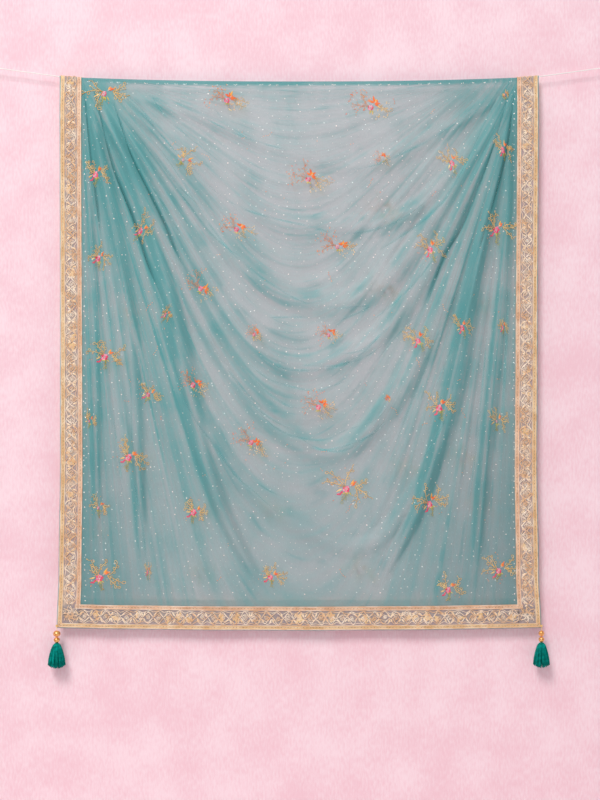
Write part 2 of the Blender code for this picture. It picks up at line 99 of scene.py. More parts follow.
# Large ridges of the two falls, as the solids have them: route (across, down), half widths, height
Fold = namedtuple("Fold", "route narrow wide high")
FRONT_FOLDS = (
    Fold(((-0.390, 0.012), (-0.175, 0.087), (0.010, 0.154), (0.148, 0.172), (0.308, 0.098), (0.430, 0.022)),
         narrow=0.012, wide=0.034, high=0.007),
    Fold(((-0.400, 0.020), (-0.257, 0.142), (-0.100, 0.270), (0.060, 0.308), (0.252, 0.259), (0.435, 0.030)),
         narrow=0.012, wide=0.038, high=0.010),
    Fold(((-0.405, 0.030), (-0.257, 0.190), (-0.107, 0.390), (0.050, 0.466), (0.200, 0.400), (0.360, 0.165),
          (0.438, 0.035)), narrow=0.012, wide=0.038, high=0.012),
    Fold(((-0.410, 0.035), (-0.300, 0.205), (-0.190, 0.405), (-0.080, 0.560), (0.050, 0.592), (0.215, 0.480),
          (0.380, 0.175), (0.440, 0.040)), narrow=0.012, wide=0.036, high=0.012),
    Fold(((-0.410, 0.040), (-0.310, 0.255), (-0.200, 0.500), (-0.050, 0.710), (0.090, 0.767), (0.255, 0.575),
          (0.400, 0.185), (0.442, 0.045)), narrow=0.012, wide=0.036, high=0.013),
    Fold(((-0.415, 0.045), (-0.330, 0.300), (-0.240, 0.590), (-0.160, 0.780), (0.000, 0.925), (0.150, 0.965),
          (0.280, 0.790), (0.342, 0.580)), narrow=0.013, wide=0.032, high=0.009),
    Fold(((-0.420, 0.035), (-0.350, 0.190), (-0.280, 0.400), (-0.225, 0.660), (-0.165, 0.880),
          (-0.065, 1.080)),
         narrow=0.014, wide=0.032, high=0.017),
    Fold(((-0.438, 0.035), (-0.405, 0.200), (-0.365, 0.420), (-0.340, 0.700), (-0.325, 1.060)),
         narrow=0.012, wide=0.026, high=0.010),
    Fold(((-0.447, 0.040), (-0.438, 0.250), (-0.425, 0.550), (-0.420, 0.980)),
         narrow=0.010, wide=0.016, high=0.006),
    Fold(((0.446, 0.045), (0.410, 0.205), (0.368, 0.390), (0.325, 0.640), (0.245, 0.890), (0.160, 1.060)),
         narrow=0.013, wide=0.032, high=0.015),
    Fold(((0.449, 0.060), (0.436, 0.250), (0.418, 0.500), (0.390, 0.760), (0.365, 1.070)),
         narrow=0.012, wide=0.024, high=0.009),
)
BACK_FOLDS = (
    Fold(((-0.420, 0.030), (-0.230, 0.260), (0.000, 0.380), (0.230, 0.260), (0.420, 0.030)),
         narrow=0.030, wide=0.070, high=0.009),
    Fold(((-0.420, 0.040), (-0.270, 0.460), (0.000, 0.720), (0.270, 0.460), (0.420, 0.040)),
         narrow=0.030, wide=0.070, high=0.010),
    Fold(((-0.430, 0.050), (-0.340, 0.500), (-0.240, 1.060)), narrow=0.030, wide=0.060, high=0.010),
    Fold(((0.430, 0.050), (0.345, 0.480), (0.270, 1.060)), narrow=0.030, wide=0.060, high=0.009),
)
ROUTE_STEPS = 8
BLEND_POWER = 3.0
FADE_TOP = 0.030
FADE_SIDE = 0.022
FADE_HEM = 0.070
TIP_SHARE = 0.14
HEM_WAVE_HIGH = 0.003
HEM_WAVE_LONG = 0.230
HEM_WAVE_START = 0.6
HEM_WAVE_FROM = 0.880
HEM_WAVE_FULL = 1.060

# How the cloth hangs between the two upper corners: swags, by their depth at mid cloth
SWAG_REACH = (0.340, 0.462)
SWAG_REACH_FULL = 0.80
SWAG_ROUND = (0.120, 0.250)
SWAG_ROUND_FROM = 0.30
SWAG_ROUND_FULL = 1.00
SWAG_DEEPEST = 60.0
SWAG_MIDDLE = 0.45
SWAG_HALVINGS = 34

# Thin creases that follow the swags: the depth of their swag, where they start and end across
# the cloth, their half width as a share of the fan, and how far they stand out
Crease = namedtuple("Crease", "depth start end wide high")
CREASES = (
    Crease(0.10, -0.30, 0.26, 0.026, 0.0024),
    Crease(0.205, -0.36, 0.05, 0.020, 0.0024),
    Crease(0.255, -0.10, 0.40, 0.018, 0.0023),
    Crease(0.370, -0.40, 0.24, 0.018, 0.0027),
    Crease(0.415, -0.05, 0.42, 0.014, 0.0024),
    Crease(0.520, -0.42, 0.30, 0.014, 0.0027),
    Crease(0.640, -0.43, 0.16, 0.012, 0.0026),
    Crease(0.690, -0.10, 0.43, 0.012, 0.0024),
    Crease(0.830, -0.44, 0.36, 0.011, 0.0027),
    Crease(1.050, -0.44, 0.43, 0.010, 0.0026),
    Crease(1.400, -0.45, 0.45, 0.012, 0.0040),
    Crease(2.100, -0.45, 0.45, 0.013, 0.0036),
    Crease(3.400, -0.46, 0.46, 0.010, 0.0032),
    Crease(6.500, -0.46, 0.46, 0.008, 0.0026),
)

# Pleats: thin dark lines where the cloth folds under itself, and wide bands where it lies double
Pleat = namedtuple("Pleat", "route wide deep")
DARK_PLEATS = (
    Pleat(((-0.449, 0.012), (-0.436, 0.132), (-0.421, 0.259), (-0.408, 0.372)), 0.0042, 0.85),
    Pleat(((-0.427, 0.020), (-0.398, 0.139), (-0.380, 0.199), (-0.346, 0.284), (-0.316, 0.378),
           (-0.290, 0.441),
           (-0.257, 0.535)), 0.0046, 0.95),
    Pleat(((-0.387, 0.045), (-0.350, 0.150), (-0.309, 0.236), (-0.279, 0.299), (-0.249, 0.370),
           (-0.220, 0.416)),
          0.0042, 0.90),
    Pleat(((-0.373, 0.016), (-0.331, 0.053), (-0.301, 0.094), (-0.258, 0.142), (-0.175, 0.228)), 0.0040,
          0.55),
    Pleat(((-0.249, 0.050), (-0.175, 0.087), (-0.107, 0.117), (-0.063, 0.132), (0.012, 0.154)), 0.0045, 0.30),
    Pleat(((-0.258, 0.142), (-0.175, 0.228), (-0.101, 0.270), (0.012, 0.299), (0.096, 0.316), (0.185, 0.299),
           (0.252, 0.259), (0.300, 0.213)), 0.0045, 0.42),
    Pleat(((-0.331, 0.087), (-0.258, 0.184), (-0.175, 0.311), (-0.107, 0.385), (0.012, 0.460),
           (0.096, 0.460)),
          0.0045, 0.40),
    Pleat(((0.448, 0.030), (0.426, 0.163), (0.388, 0.299), (0.346, 0.434)), 0.0046, 0.95),
    Pleat(((0.438, 0.025), (0.386, 0.184), (0.338, 0.303), (0.300, 0.367), (0.267, 0.460), (0.229, 0.557)),
          0.0042, 0.80),
    Pleat(((0.413, 0.030), (0.327, 0.206), (0.275, 0.274), (0.200, 0.329), (0.140, 0.367)), 0.0045, 0.60),
    Pleat(((0.428, 0.020), (0.308, 0.098), (0.229, 0.142), (0.148, 0.176), (0.084, 0.184)), 0.0055, 0.45),
    Pleat(((0.319, 0.311), (0.252, 0.403), (0.190, 0.466), (0.140, 0.505)), 0.0045, 0.45),
    Pleat(((-0.187, 0.539), (-0.127, 0.627), (-0.072, 0.691), (0.009, 0.739)), 0.0045, 0.40),
    Pleat(((-0.275, 0.539), (-0.231, 0.675), (-0.171, 0.763), (-0.139, 0.811), (-0.087, 0.859),
           (-0.031, 0.911)),
          0.0045, 0.50),
    Pleat(((-0.391, 0.671), (-0.375, 0.779), (-0.363, 0.899)), 0.0045, 0.40),
    Pleat(((-0.351, 0.619), (-0.343, 0.811), (-0.323, 0.938), (-0.311, 1.091)), 0.0045, 0.50),
    Pleat(((0.271, 0.579), (0.231, 0.671), (0.191, 0.779)), 0.0045, 0.45),
    Pleat(((-0.009, 0.591), (0.071, 0.591), (0.131, 0.575), (0.183, 0.543)), 0.0045, 0.35),
    Pleat(((-0.009, 0.731), (0.031, 0.759), (0.091, 0.767), (0.151, 0.731), (0.199, 0.687)), 0.0045, 0.35),
    Pleat(((0.436, 0.350), (0.428, 0.560), (0.418, 0.760)), 0.0045, 0.45),
    Pleat(((0.395, 0.480), (0.375, 0.690), (0.352, 0.900)), 0.0045, 0.40),
)
DOUBLE_BANDS = (
    Pleat(((-0.410, 0.015), (-0.375, 0.111), (-0.337, 0.215), (-0.312, 0.309), (-0.287, 0.435),
           (-0.266, 0.539),
           (-0.230, 0.665), (-0.207, 0.763), (-0.176, 0.859), (-0.124, 0.943), (-0.065, 1.039)), 0.017, 0.42),
    Pleat(((-0.443, 0.010), (-0.430, 0.150), (-0.412, 0.300), (-0.402, 0.450)), 0.012, 0.32),
    Pleat(((-0.340, 0.020), (-0.270, 0.090), (-0.190, 0.170)), 0.012, 0.22),
    Pleat(((0.450, 0.020), (0.444, 0.150), (0.430, 0.300), (0.410, 0.420)), 0.014, 0.40),
    Pleat(((0.432, 0.020), (0.372, 0.150), (0.322, 0.245), (0.262, 0.340)), 0.017, 0.30),
    Pleat(((0.440, 0.040), (0.405, 0.190), (0.368, 0.320), (0.352, 0.450), (0.342, 0.579), (0.319, 0.706),
           (0.287, 0.779), (0.231, 0.899), (0.191, 0.959)), 0.018, 0.24),
)

# Cloth columns, rows of the front fall, of the fold over the line and of the back fall
COLUMNS = 290
FRONT_ROWS = 246
ARC_ROWS = 12
BACK_ROWS = 76
FIELD_STEP = 0.003
FIELD_HALF = 0.516
FIELD_ABOVE = 0.030
FIELD_BELOW = 1.170
NOISE_CELLS = 64
CALM_FROM = 0.700
CALM_LONG = 0.300


def mix(low, high, share):
    """The value at a share of the way from low to high."""
    return low + (high - low) * share


def smooth(value):
    """0 below 0, 1 above 1 and an S between, for numbers and arrays."""
    value = np.clip(value, 0.0, 1.0)
    return value * value * (3.0 - 2.0 * value)


def soft_noise(seed, u, v):
    """Smooth random values from -1 to 1, one hill or dip for each whole step of u and v."""
    table = np.random.default_rng(seed).uniform(-1.0, 1.0, (NOISE_CELLS, NOISE_CELLS))
    column, row = np.floor(u).astype(int), np.floor(v).astype(int)
    a, b = smooth(u - column), smooth(v - row)
    left, right = column % NOISE_CELLS, (column + 1) % NOISE_CELLS
    low, high = row % NOISE_CELLS, (row + 1) % NOISE_CELLS
    near = mix(table[left, low], table[right, low], a)
    far = mix(table[left, high], table[right, high], a)
    return mix(near, far, b)


def line_height(x):
    """Height of the line: a soft sag under the cloth, steeper past the heavy lace."""
    x = np.abs(x)
    inner = RISE_AT_LACE * (np.minimum(x, LACE_INNER_X) / LACE_INNER_X) ** RISE_POWER
    inner_slope = RISE_POWER * RISE_AT_LACE / LACE_INNER_X
    turn = (OUTER_SLOPE - inner_slope) / (LACE_OUTER_X - LACE_INNER_X)
    past = np.clip(x, LACE_INNER_X, LACE_OUTER_X) - LACE_INNER_X
    outer = OUTER_SLOPE * np.maximum(0.0, x - LACE_OUTER_X)
    return inner + inner_slope * past + turn * past * past / 2 + outer


def hem_down(across):
    """How far below the origin the front hem hangs, lowest in the middle."""
    return mix(HEM_MIDDLE, HEM_CORNER, (2.0 * across - 1.0) ** 2)


def edge_x(down_share, across):
    """The place across the cloth, between its two upright edges."""
    down_share = np.clip(down_share, 0.0, 1.0)
    span = np.clip(np.searchsorted(EDGE_DOWN, down_share) - 1, 0, len(EDGE_DOWN) - 2)
    upper, lower = np.take(EDGE_DOWN, span), np.take(EDGE_DOWN, span + 1)
    share = smooth((down_share - upper) / (lower - upper))
    left = mix(np.take(EDGE_LEFT, span), np.take(EDGE_LEFT, span + 1), share)
    right = mix(np.take(EDGE_RIGHT, span), np.take(EDGE_RIGHT, span + 1), share)
    return mix(left, right, across)


def route_points(route):
    """Points on a smooth curve through a fold's route, with the share of the way along it."""
    places = np.array(route)
    places = np.vstack((2 * places[0] - places[1], places, 2 * places[-1] - places[-2]))
    spans = len(route) - 1
    points = []
    for span in range(spans):
        before, start, end, after = places[span:span + 4]
        for step in range(ROUTE_STEPS + (span == spans - 1)):
            t = step / ROUTE_STEPS
            point = 0.5 * (2 * start + (end - before) * t + (2 * before - 5 * start + 4 * end - after) * t * t
                           + (3 * start - before - 3 * end + after) * t ** 3)
            points.append(((span + t) / spans, *point))
    return points


def nearest(points, x, down):
    """How far places are from a route, and the share of the way along it where they are nearest."""
    gap, share = np.full_like(x, np.inf), np.zeros_like(x)
    for (low_share, low_x, low_down), (high_share, high_x, high_down) in zip(points, points[1:]):
        run_x, run_down = high_x - low_x, high_down - low_down
        t = ((x - low_x) * run_x + (down - low_down) * run_down) / (run_x ** 2 + run_down ** 2)
        t = np.clip(t, 0.0, 1.0)
        reach = np.hypot(x - low_x - run_x * t, down - low_down - run_down * t)
        nearer = reach < gap
        gap = np.where(nearer, reach, gap)
        share = np.where(nearer, mix(low_share, high_share, t), share)
    return gap, share


def ridges(folds, x, down):
    """Height of the large ridges at places across and down, blended where they meet."""
    total = np.zeros_like(x)
    for fold in folds:
        gap, share = nearest(route_points(fold.route), x, down)
        half_width = mix(fold.narrow, fold.wide, np.sin(math.pi * share))
        tip = smooth(share / TIP_SHARE) * smooth((1.0 - share) / TIP_SHARE)
        back = 0.5 + 0.5 * np.cos(math.pi * np.minimum(gap / half_width, 1.0))
        total += (fold.high * tip * back) ** BLEND_POWER
    return total ** (1.0 / BLEND_POWER)


def swag_line(x, depth):
    """How far down the swag of a given depth hangs, at a place across the cloth."""
    reach = mix(*SWAG_REACH, smooth(depth / SWAG_REACH_FULL))
    rounding = mix(*SWAG_ROUND, smooth((depth - SWAG_ROUND_FROM) / (SWAG_ROUND_FULL - SWAG_ROUND_FROM)))
    x = np.abs(x)
    bowed = np.where(x < rounding, x * x / (2 * rounding) + rounding / 2, x)
    return depth * (reach - bowed) / (reach - rounding / 2)


def swag_share(x, down):
    """Which swag runs through a place: 0 along the line, near 1 straight down beside the lace."""
    low, high = np.zeros_like(x), np.full_like(x, SWAG_DEEPEST)
    for _ in range(SWAG_HALVINGS):
        middle = (low + high) / 2
        above = swag_line(x, middle) >= down
        high = np.where(above, middle, high)
        low = np.where(above, low, middle)
    return np.arctan(high / SWAG_MIDDLE) * 2 / math.pi


def depth_share(depth):
    """The swag share of a swag of that depth."""
    return math.atan(depth / SWAG_MIDDLE) * 2 / math.pi


def crease_heights(share, x):
    """Thin creases along the swags, gentle above and steep on their lower side."""
    total = np.zeros_like(x)
    for crease in CREASES:
        t = (share - depth_share(crease.depth)) / crease.wide
        rise = smooth((t + 1.0) / 1.5) * smooth((1.0 - t) / 0.5)
        window = smooth((x - crease.start) / 0.10) * smooth((crease.end - x) / 0.10)
        total = np.maximum(total, crease.high * rise * window)
    return total


def pleat_strength(pleats, x, down, fade):
    """How strongly the nearest pleats mark a place: most along their routes, thinner to their ends."""
    total = np.zeros_like(x)
    for pleat in pleats:
        gap, share = nearest(route_points(pleat.route)[::2], x, down)
        width = pleat.wide * mix(0.6, 1.3, smooth(share * 2.0))
        total = np.maximum(total, pleat.deep * np.exp(-(gap / width) ** 2) * smooth((1.0 - share) / fade))
    return total


class Field:
    """Values kept on an even grid of places across and down, read between its points."""

    def __init__(self, values):
        self.values = values

    @staticmethod
    def places():
        """The grid's own places."""
        x = np.arange(-FIELD_HALF, FIELD_HALF + 0.0001, FIELD_STEP)
        down = np.arange(-FIELD_ABOVE, FIELD_BELOW + 0.0001, FIELD_STEP)
        return np.meshgrid(x, down, indexing="ij")

    def at(self, x, down):
        """The value at any place, bilinear between the four grid points round it."""
        column = np.clip((x + FIELD_HALF) / FIELD_STEP, 0.0, self.values.shape[0] - 1.001)
        row = np.clip((down + FIELD_ABOVE) / FIELD_STEP, 0.0, self.values.shape[1] - 1.001)
        i, j = column.astype(int), row.astype(int)
        a, b = column - i, row - j
        upper = mix(self.values[i, j], self.values[i + 1, j], a)
        lower = mix(self.values[i, j + 1], self.values[i + 1, j + 1], a)
        return mix(upper, lower, b)


def fall_field(folds, seed, fine):
    """How far one fall stands out from its plane."""
    x, down = Field.places()
    share = swag_share(x, np.maximum(down, 0.0))
    hem = hem_down(x / CLOTH_WIDE + 0.5)
    side = smooth((LACE_INNER_X - np.abs(x)) / FADE_SIDE)
    above = smooth((down - PRESSED) / FADE_TOP)
    below = smooth((hem - LACE_WIDE - HEM_SHOWS - down) / FADE_HEM)
    broad = 0.0016 * soft_noise(seed, share * 30, x * 3.2)
    ripples = broad + 0.0010 * soft_noise(seed + 1, share * 64, x * 4.0)
    large = ridges(folds, x, down)
    creases = crease_heights(share, x) if fine else 0.0
    calm = 1.0 - 0.75 * smooth((down - CALM_FROM) / CALM_LONG)
    inner = smooth((LACE_INNER_X - FADE_SIDE - np.abs(x)) / FADE_SIDE)
    grown = smooth((down - HEM_WAVE_FROM) / (HEM_WAVE_FULL - HEM_WAVE_FROM))
    turn = 2 * math.pi * x / HEM_WAVE_LONG + HEM_WAVE_START
    wave = HEM_WAVE_HIGH * inner * grown * (0.5 + 0.5 * np.sin(turn))
    return side * above * below * (large + (creases + ripples) * calm) + wave


FRONT_DEPTH = Field(fall_field(FRONT_FOLDS, 11, True))
BACK_DEPTH = Field(fall_field(BACK_FOLDS, 31, False))
SWAGS = Field(swag_share(Field.places()[0], np.maximum(Field.places()[1], 0.0)))
PLEATS = Field(pleat_strength(DARK_PLEATS, *Field.places(), 0.35))
DOUBLED = Field(pleat_strength(DOUBLE_BANDS, *Field.places(), 0.75))


def fall_out(x, z, front):
    """How far the middle of the cloth lies from the plane of the line, on one of the two falls."""
    top = line_height(x) - PRESSED
    out = mix(FOLD_RADIUS, HALF_GAP, smooth((top - z) / SPREAD_TALL))
    return out + (FRONT_DEPTH if front else BACK_DEPTH).at(x, -z)


def on_front(points):
    """Places on the front fall of shapes laid out flat: across, up and out from the cloth."""
    x, z, lift = points.T
    return np.column_stack((x, -(fall_out(x, z, True) + lift), z))


def on_back(points):
    """Places on the back fall of shapes laid out flat: across, up and out from the cloth."""
    x, z, lift = points.T
    return np.column_stack((x, fall_out(x, z, False) + lift, z))


def full_run(across, front):
    """Length of the cloth from its crest over the line to the hem of a fall, at a share across it."""
    hem = hem_down(across) - (0.0 if front else BACK_SHORTER)
    return hem + line_height(across * CLOTH_WIDE - CLOTH_WIDE / 2) + ARC_HALF


def drape(across, run, lift):
    """Places on the whole cloth: a share across it, a run from its crest (front negative), and a lift."""
    front = run < 0.0
    reach = np.abs(run)
    start = across * CLOTH_WIDE - CLOTH_WIDE / 2
    hem = hem_down(across) - np.where(front, 0.0, BACK_SHORTER)
    height = line_height(start)
    z = height - (reach - ARC_HALF)
    down_share = (height - PRESSED - z) / (height - PRESSED + hem)
    x = edge_x(down_share, across)
    out = np.where(front, fall_out(x, z, True), fall_out(x, z, False)) + lift
    out = np.where(reach < ARC_HALF + PRESSED, FOLD_RADIUS + lift, out)
    angle = np.minimum(reach / FOLD_RADIUS, math.pi / 2)
    out = np.where(reach < ARC_HALF, np.sin(angle) * (FOLD_RADIUS + lift), out)
    z = np.where(reach < ARC_HALF, height + np.cos(angle) * (FOLD_RADIUS + lift), z)
    return np.column_stack((x, np.where(front, -out, out), z))


class Pile:
    """Many small shapes gathered into one mesh."""

    def __init__(self):
        self.points, self.faces, self.count = [], [], 0

    def add(self, points, faces):
        """Add a shape: its points, and its faces as tuples of their places in it."""
        self.points.append(np.asarray(points, dtype=float))
        self.faces.extend(tuple(corner + self.count for corner in face) for face in faces)
        self.count += len(points)

    def piece(self, name, look, slot, place=None, flip=False):
        """The gathered shapes as one piece, put on the cloth by a place function if one is given."""
        points = np.concatenate(self.points)
        points = place(points) if place else points
        faces = [face[::-1] for face in self.faces] if flip else self.faces
        return new_piece(name, points, faces, look)


def new_piece(name, points, faces, look):
    """An object of its own mesh, with its material, riding on the stole."""
    mesh = bpy.data.meshes.new(name)
    mesh.from_pydata(np.asarray(points).tolist(), [], faces)
    mesh.polygons.foreach_set("use_smooth", np.full(len(mesh.polygons), True))
    mesh.materials.append(look)
    made = bpy.data.objects.new(name, mesh)
    bpy.context.scene.collection.objects.link(made)
    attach(made, BODY)
    return made


def grid_faces(columns, rows, closed=False):
    """Quads of a grid whose points run along its columns first, closed round its columns or not."""
    spans = columns if closed else columns - 1
    return [
        (row * columns + column, row * columns + (column + 1) % columns,
         (row + 1) * columns + (column + 1) % columns, (row + 1) * columns + column)
        for row in range(rows - 1) for column in range(spans)
    ]


def rings(path, along, half, out, sides, flat):
    """Points in a ring round each place of a path, across its direction there."""
    along = along / np.linalg.norm(along, axis=1)[:, None]
    out = np.broadcast_to(np.asarray(out, dtype=float), path.shape)
    beside = np.cross(along, out)
    beside /= np.linalg.norm(beside, axis=1)[:, None]
    out = np.cross(beside, along)
    half = np.broadcast_to(half, len(path))[:, None, None]
    angles = 2 * math.pi * (np.arange(sides) + 0.5) / sides
    ring = (np.cos(angles)[None, :, None] * beside[:, None, :]
            + flat * np.sin(angles)[None, :, None] * out[:, None, :])
    return (path[:, None, :] + half * ring).reshape(-1, 3)


def rod(path, half, out, sides=4, flat=1.0):
    """A round thread along a path, with caps: its points and faces. Out is a direction off the path."""
    path = np.asarray(path, dtype=float)
    along = np.gradient(path, axis=0)
    points = rings(path, along, half, out, sides, flat)
    faces = grid_faces(sides, len(path), closed=True)
    last = sides * (len(path) - 1)
    faces += [tuple(range(sides))[::-1], tuple(range(last, last + sides))]
    return points, faces


def hoop(path, half, out, sides=4, flat=1.0):
    """A closed round thread along a path whose last point joins its first."""
    path = np.asarray(path, dtype=float)
    along = np.roll(path, -1, axis=0) - np.roll(path, 1, axis=0)
    points = rings(path, along, half, out, sides, flat)
    count = len(path)
    faces = [
        (row * sides + side, row * sides + (side + 1) % sides,
         ((row + 1) % count) * sides + (side + 1) % sides, ((row + 1) % count) * sides + side)
        for row in range(count) for side in range(sides)
    ]
    return points, faces


UP_FROM_CLOTH = (0.0, 0.0, 1.0)


def petal(root, turn, long, wide, high):
    """A padded petal or leaf: a pointed oval with a raised middle, laid out flat."""
    shape = np.array((
        (0.0, 0.0, 0.0),
        (0.35, 0.46, 0.1), (0.35, 0.0, 1.0), (0.35, -0.46, 0.1),
        (0.72, 0.34, 0.1), (0.72, 0.0, 0.8), (0.72, -0.34, 0.1),
        (1.0, 0.0, 0.1),
    )) * (long, wide, high)
    cos, sin = math.cos(turn), math.sin(turn)
    x = root[0] + shape[:, 0] * cos - shape[:, 1] * sin
    z = root[1] + shape[:, 0] * sin + shape[:, 1] * cos
    faces = [(0, 2, 1), (0, 3, 2), (1, 2, 5, 4), (2, 3, 6, 5), (4, 5, 7), (5, 6, 7)]
    return np.column_stack((x, z, shape[:, 2])), faces


def knot(place, half, high):
    """A small bead: a six-sided dome on the cloth."""
    angles = np.arange(6) * math.pi / 3
    rim = [(place[0] + half * math.cos(a), place[1] + half * math.sin(a), 0.2 * high) for a in angles]
    upper = [(place[0] + 0.6 * half * math.cos(a), place[1] + 0.6 * half * math.sin(a),
              0.8 * high) for a in angles]
    points = rim + upper + [(place[0], place[1], high)]
    faces = [(side, (side + 1) % 6, 6 + (side + 1) % 6, 6 + side) for side in range(6)]
    faces += [(6 + side, 6 + (side + 1) % 6, 12) for side in range(6)]
    return points, faces


def dot(place, half, high):
    """A sequin or a tiny stitch: a six-sided low dome."""
    points = [(place[0] + half * math.cos(a), place[1] + half * math.sin(a), 0.1 * high)
              for a in np.arange(6) * math.pi / 3]
    points.append((place[0], place[1], high))
    return np.array(points), [(side, (side + 1) % 6, 6) for side in range(6)]


class Shade:
    """A socket in a material, on which arithmetic adds Math nodes."""

    def __init__(self, tree, socket):
        self.tree, self.socket = tree, socket

    def node(self, kind, settings=None, inputs=None, output=0):
        """Add a node: its settings are set first, then the values or links of its sockets."""
        made = self.tree.nodes.new(kind)
        for name, value in (settings or {}).items():
            setattr(made, name, value)
        for name, value in (inputs or {}).items():
            if isinstance(value, Shade):
                self.tree.links.new(value.socket, made.inputs[name])
            else:
                made.inputs[name].default_value = value
        return Shade(self.tree, made.outputs[output])

    def math(self, operation, *values):
        """A Math node of that operation on the values."""
        return self.node("ShaderNodeMath", {"operation": operation}, dict(enumerate(values)))

    def __add__(self, other):
        return self.math("ADD", self, other)

    def __sub__(self, other):
        return self.math("SUBTRACT", self, other)

    def __rsub__(self, other):
        return self.math("SUBTRACT", other, self)

    def __mul__(self, other):
        return self.math("MULTIPLY", self, other)

    __radd__ = __add__
    __rmul__ = __mul__

    def size(self):
        """The value without its sign."""
        return self.math("ABSOLUTE", self)

    def ramp(self, low, high):
        """0 at low, 1 at high and an S between."""
        return self.node("ShaderNodeMapRange", {"interpolation_type": "SMOOTHSTEP"},
                         {"Value": self, "From Min": low, "From Max": high})

    def between(self, low, high):
        """The colour that this share of the way is from one colour to another."""
        return self.node("ShaderNodeMix", {"data_type": "RGBA"}, {0: self, 6: low, 7: high}, output=2)


class Finish:
    """A material: its Principled shader, and what its pattern is worked out from."""

    def __init__(self, name, roughness, **constants):
        self.material = bpy.data.materials.new(name)
        self.material.use_nodes = True
        self.tree = self.material.node_tree
        self.shader = self.tree.nodes["Principled BSDF"]
        self.base = Shade(self.tree, None)
        self.set("Roughness", roughness)
        for socket, value in constants.items():
            self.set(socket.replace("_", " "), value)

    def set(self, socket, value):
        """Set or link one of the shader's sockets."""
        if isinstance(value, Shade):
            self.tree.links.new(value.socket, self.shader.inputs[socket])
        else:
            self.shader.inputs[socket].default_value = value

    def place(self):
        """The place on the piece, in metres."""
        return self.base.node("ShaderNodeTexCoord", output="Object")

    def attribute(self, name):
        """A value kept at the mesh's points."""
        return self.base.node("ShaderNodeAttribute", {"attribute_name": name}, output="Fac")

    def split(self, vector):
        """The three parts of a vector."""
        parts = self.tree.nodes.new("ShaderNodeSeparateXYZ")
        self.tree.links.new(vector.socket, parts.inputs[0])
        return [Shade(self.tree, output) for output in parts.outputs]

    def vector(self, x, y, z):
        """A vector of three parts."""
        return self.base.node("ShaderNodeCombineXYZ", {}, {0: x, 1: y, 2: z})

    def noise(self, vector, scale, detail):
        """Soft noise, one hill for each unit of the vector over the scale."""
        return self.base.node("ShaderNodeTexNoise", {},
                              {"Vector": vector, "Scale": scale, "Detail": detail})

    def bump(self, height, distance, strength=1.0):
        """Raise the surface by a height pattern."""
        self.set("Normal", self.base.node("ShaderNodeBump", {},
                                          {"Height": height, "Distance": distance, "Strength": strength}))


def colour(red, green, blue):
    """A shader colour from screen values of 0 to 255."""
    channels = [value / 255 for value in (red, green, blue)]
    return (*[c / 12.92 if c <= 0.04045 else ((c + 0.055) / 1.055) ** 2.4 for c in channels], 1.0)


TEAL_DEEP = colour(42, 108, 109)
TEAL_BRIGHT = colour(92, 164, 165)
TEAL_LINE = colour(66, 150, 152)
TEAL_PALE = colour(183, 203, 203)
GREY_SHADOW = colour(70, 92, 98)


def organza():
    """Sheer teal organza: thin and pale where it hangs smooth, deep and dense in its gathers."""
    finish = Finish("organza", 0.5, Sheen_Weight=0.25, Sheen_Roughness=0.4)
    gather = finish.attribute("gather")
    share = finish.attribute("swag")
    pleat = finish.attribute("pleat")
    x, y, z = finish.split(finish.place())
    streaks = finish.noise(finish.vector(share * 70, x * 3.0, y * 20), 1.0, 3.0)
    threads = finish.noise(finish.vector(share * 230, x * 6.0, y * 20), 1.0, 2.0)
    cloud = finish.noise(finish.place(), 16.0, 3.0)
    mottle = finish.noise(finish.place(), 70.0, 3.0)
    weave = finish.noise(finish.vector(x * 900, y * 200, z * 260), 1.0, 1.0)
    uneven = (streaks - 0.5) * 1.2 + (threads - 0.5) * 0.8 + (cloud - 0.5) * 0.7 + (mottle - 0.5) * 0.4
    uneven = uneven * (1.0 - (z * -1.0).ramp(0.55, 0.95) * 0.35)
    dense = (gather + uneven).ramp(0.0, 1.0)
    winding = finish.noise(finish.vector(share * 26, x * 1.6, y * 12), 1.0, 2.0)
    vein = (1.0 - (winding - 0.5).size() * 34.0).ramp(0.0, 1.0) * cloud.ramp(0.42, 0.62)
    line = (pleat * pleat * (1.0 + threads * 0.6) + vein * 0.30).ramp(0.0, 0.60)
    deep = (pleat * (0.5 + threads * 0.5) + (streaks * 0.5 + threads * 0.5).ramp(0.58, 0.72) * gather * 0.4)
    line_colour = deep.ramp(0.28, 0.80).between(TEAL_LINE, TEAL_DEEP)
    shade = dense.between(TEAL_PALE, TEAL_BRIGHT)
    shade = (line * 0.85).between(shade, line_colour)
    low = (z * -1.0).ramp(0.50, 1.05)
    grey = x.ramp(0.10, 0.42) * 0.09 + low * 0.05 + low * x.size().ramp(0.24, 0.46) * 0.14
    shade = grey.between(shade, GREY_SHADOW)
    finish.set("Base Color", shade)
    finish.set("Alpha", 0.40 + dense * 0.40 + line * 0.14 + (weave - 0.5) * 0.12)
    finish.bump(streaks + threads * 0.5 + weave * 0.05 - pleat * 1.2, 0.002, 0.5)
    return finish.material


def tuck_shade(name, low, high, least, range_up):
    """Doubled organza of tucks and creases, half sheer, stronger in some places."""
    finish = Finish(name, 0.6)
    tone = finish.noise(finish.place(), 30.0, 3.0)
    finish.set("Base Color", tone.ramp(0.3, 0.7).between(low, high))
    finish.set("Alpha", least + tone.ramp(0.30, 0.70) * range_up)
    return finish.material


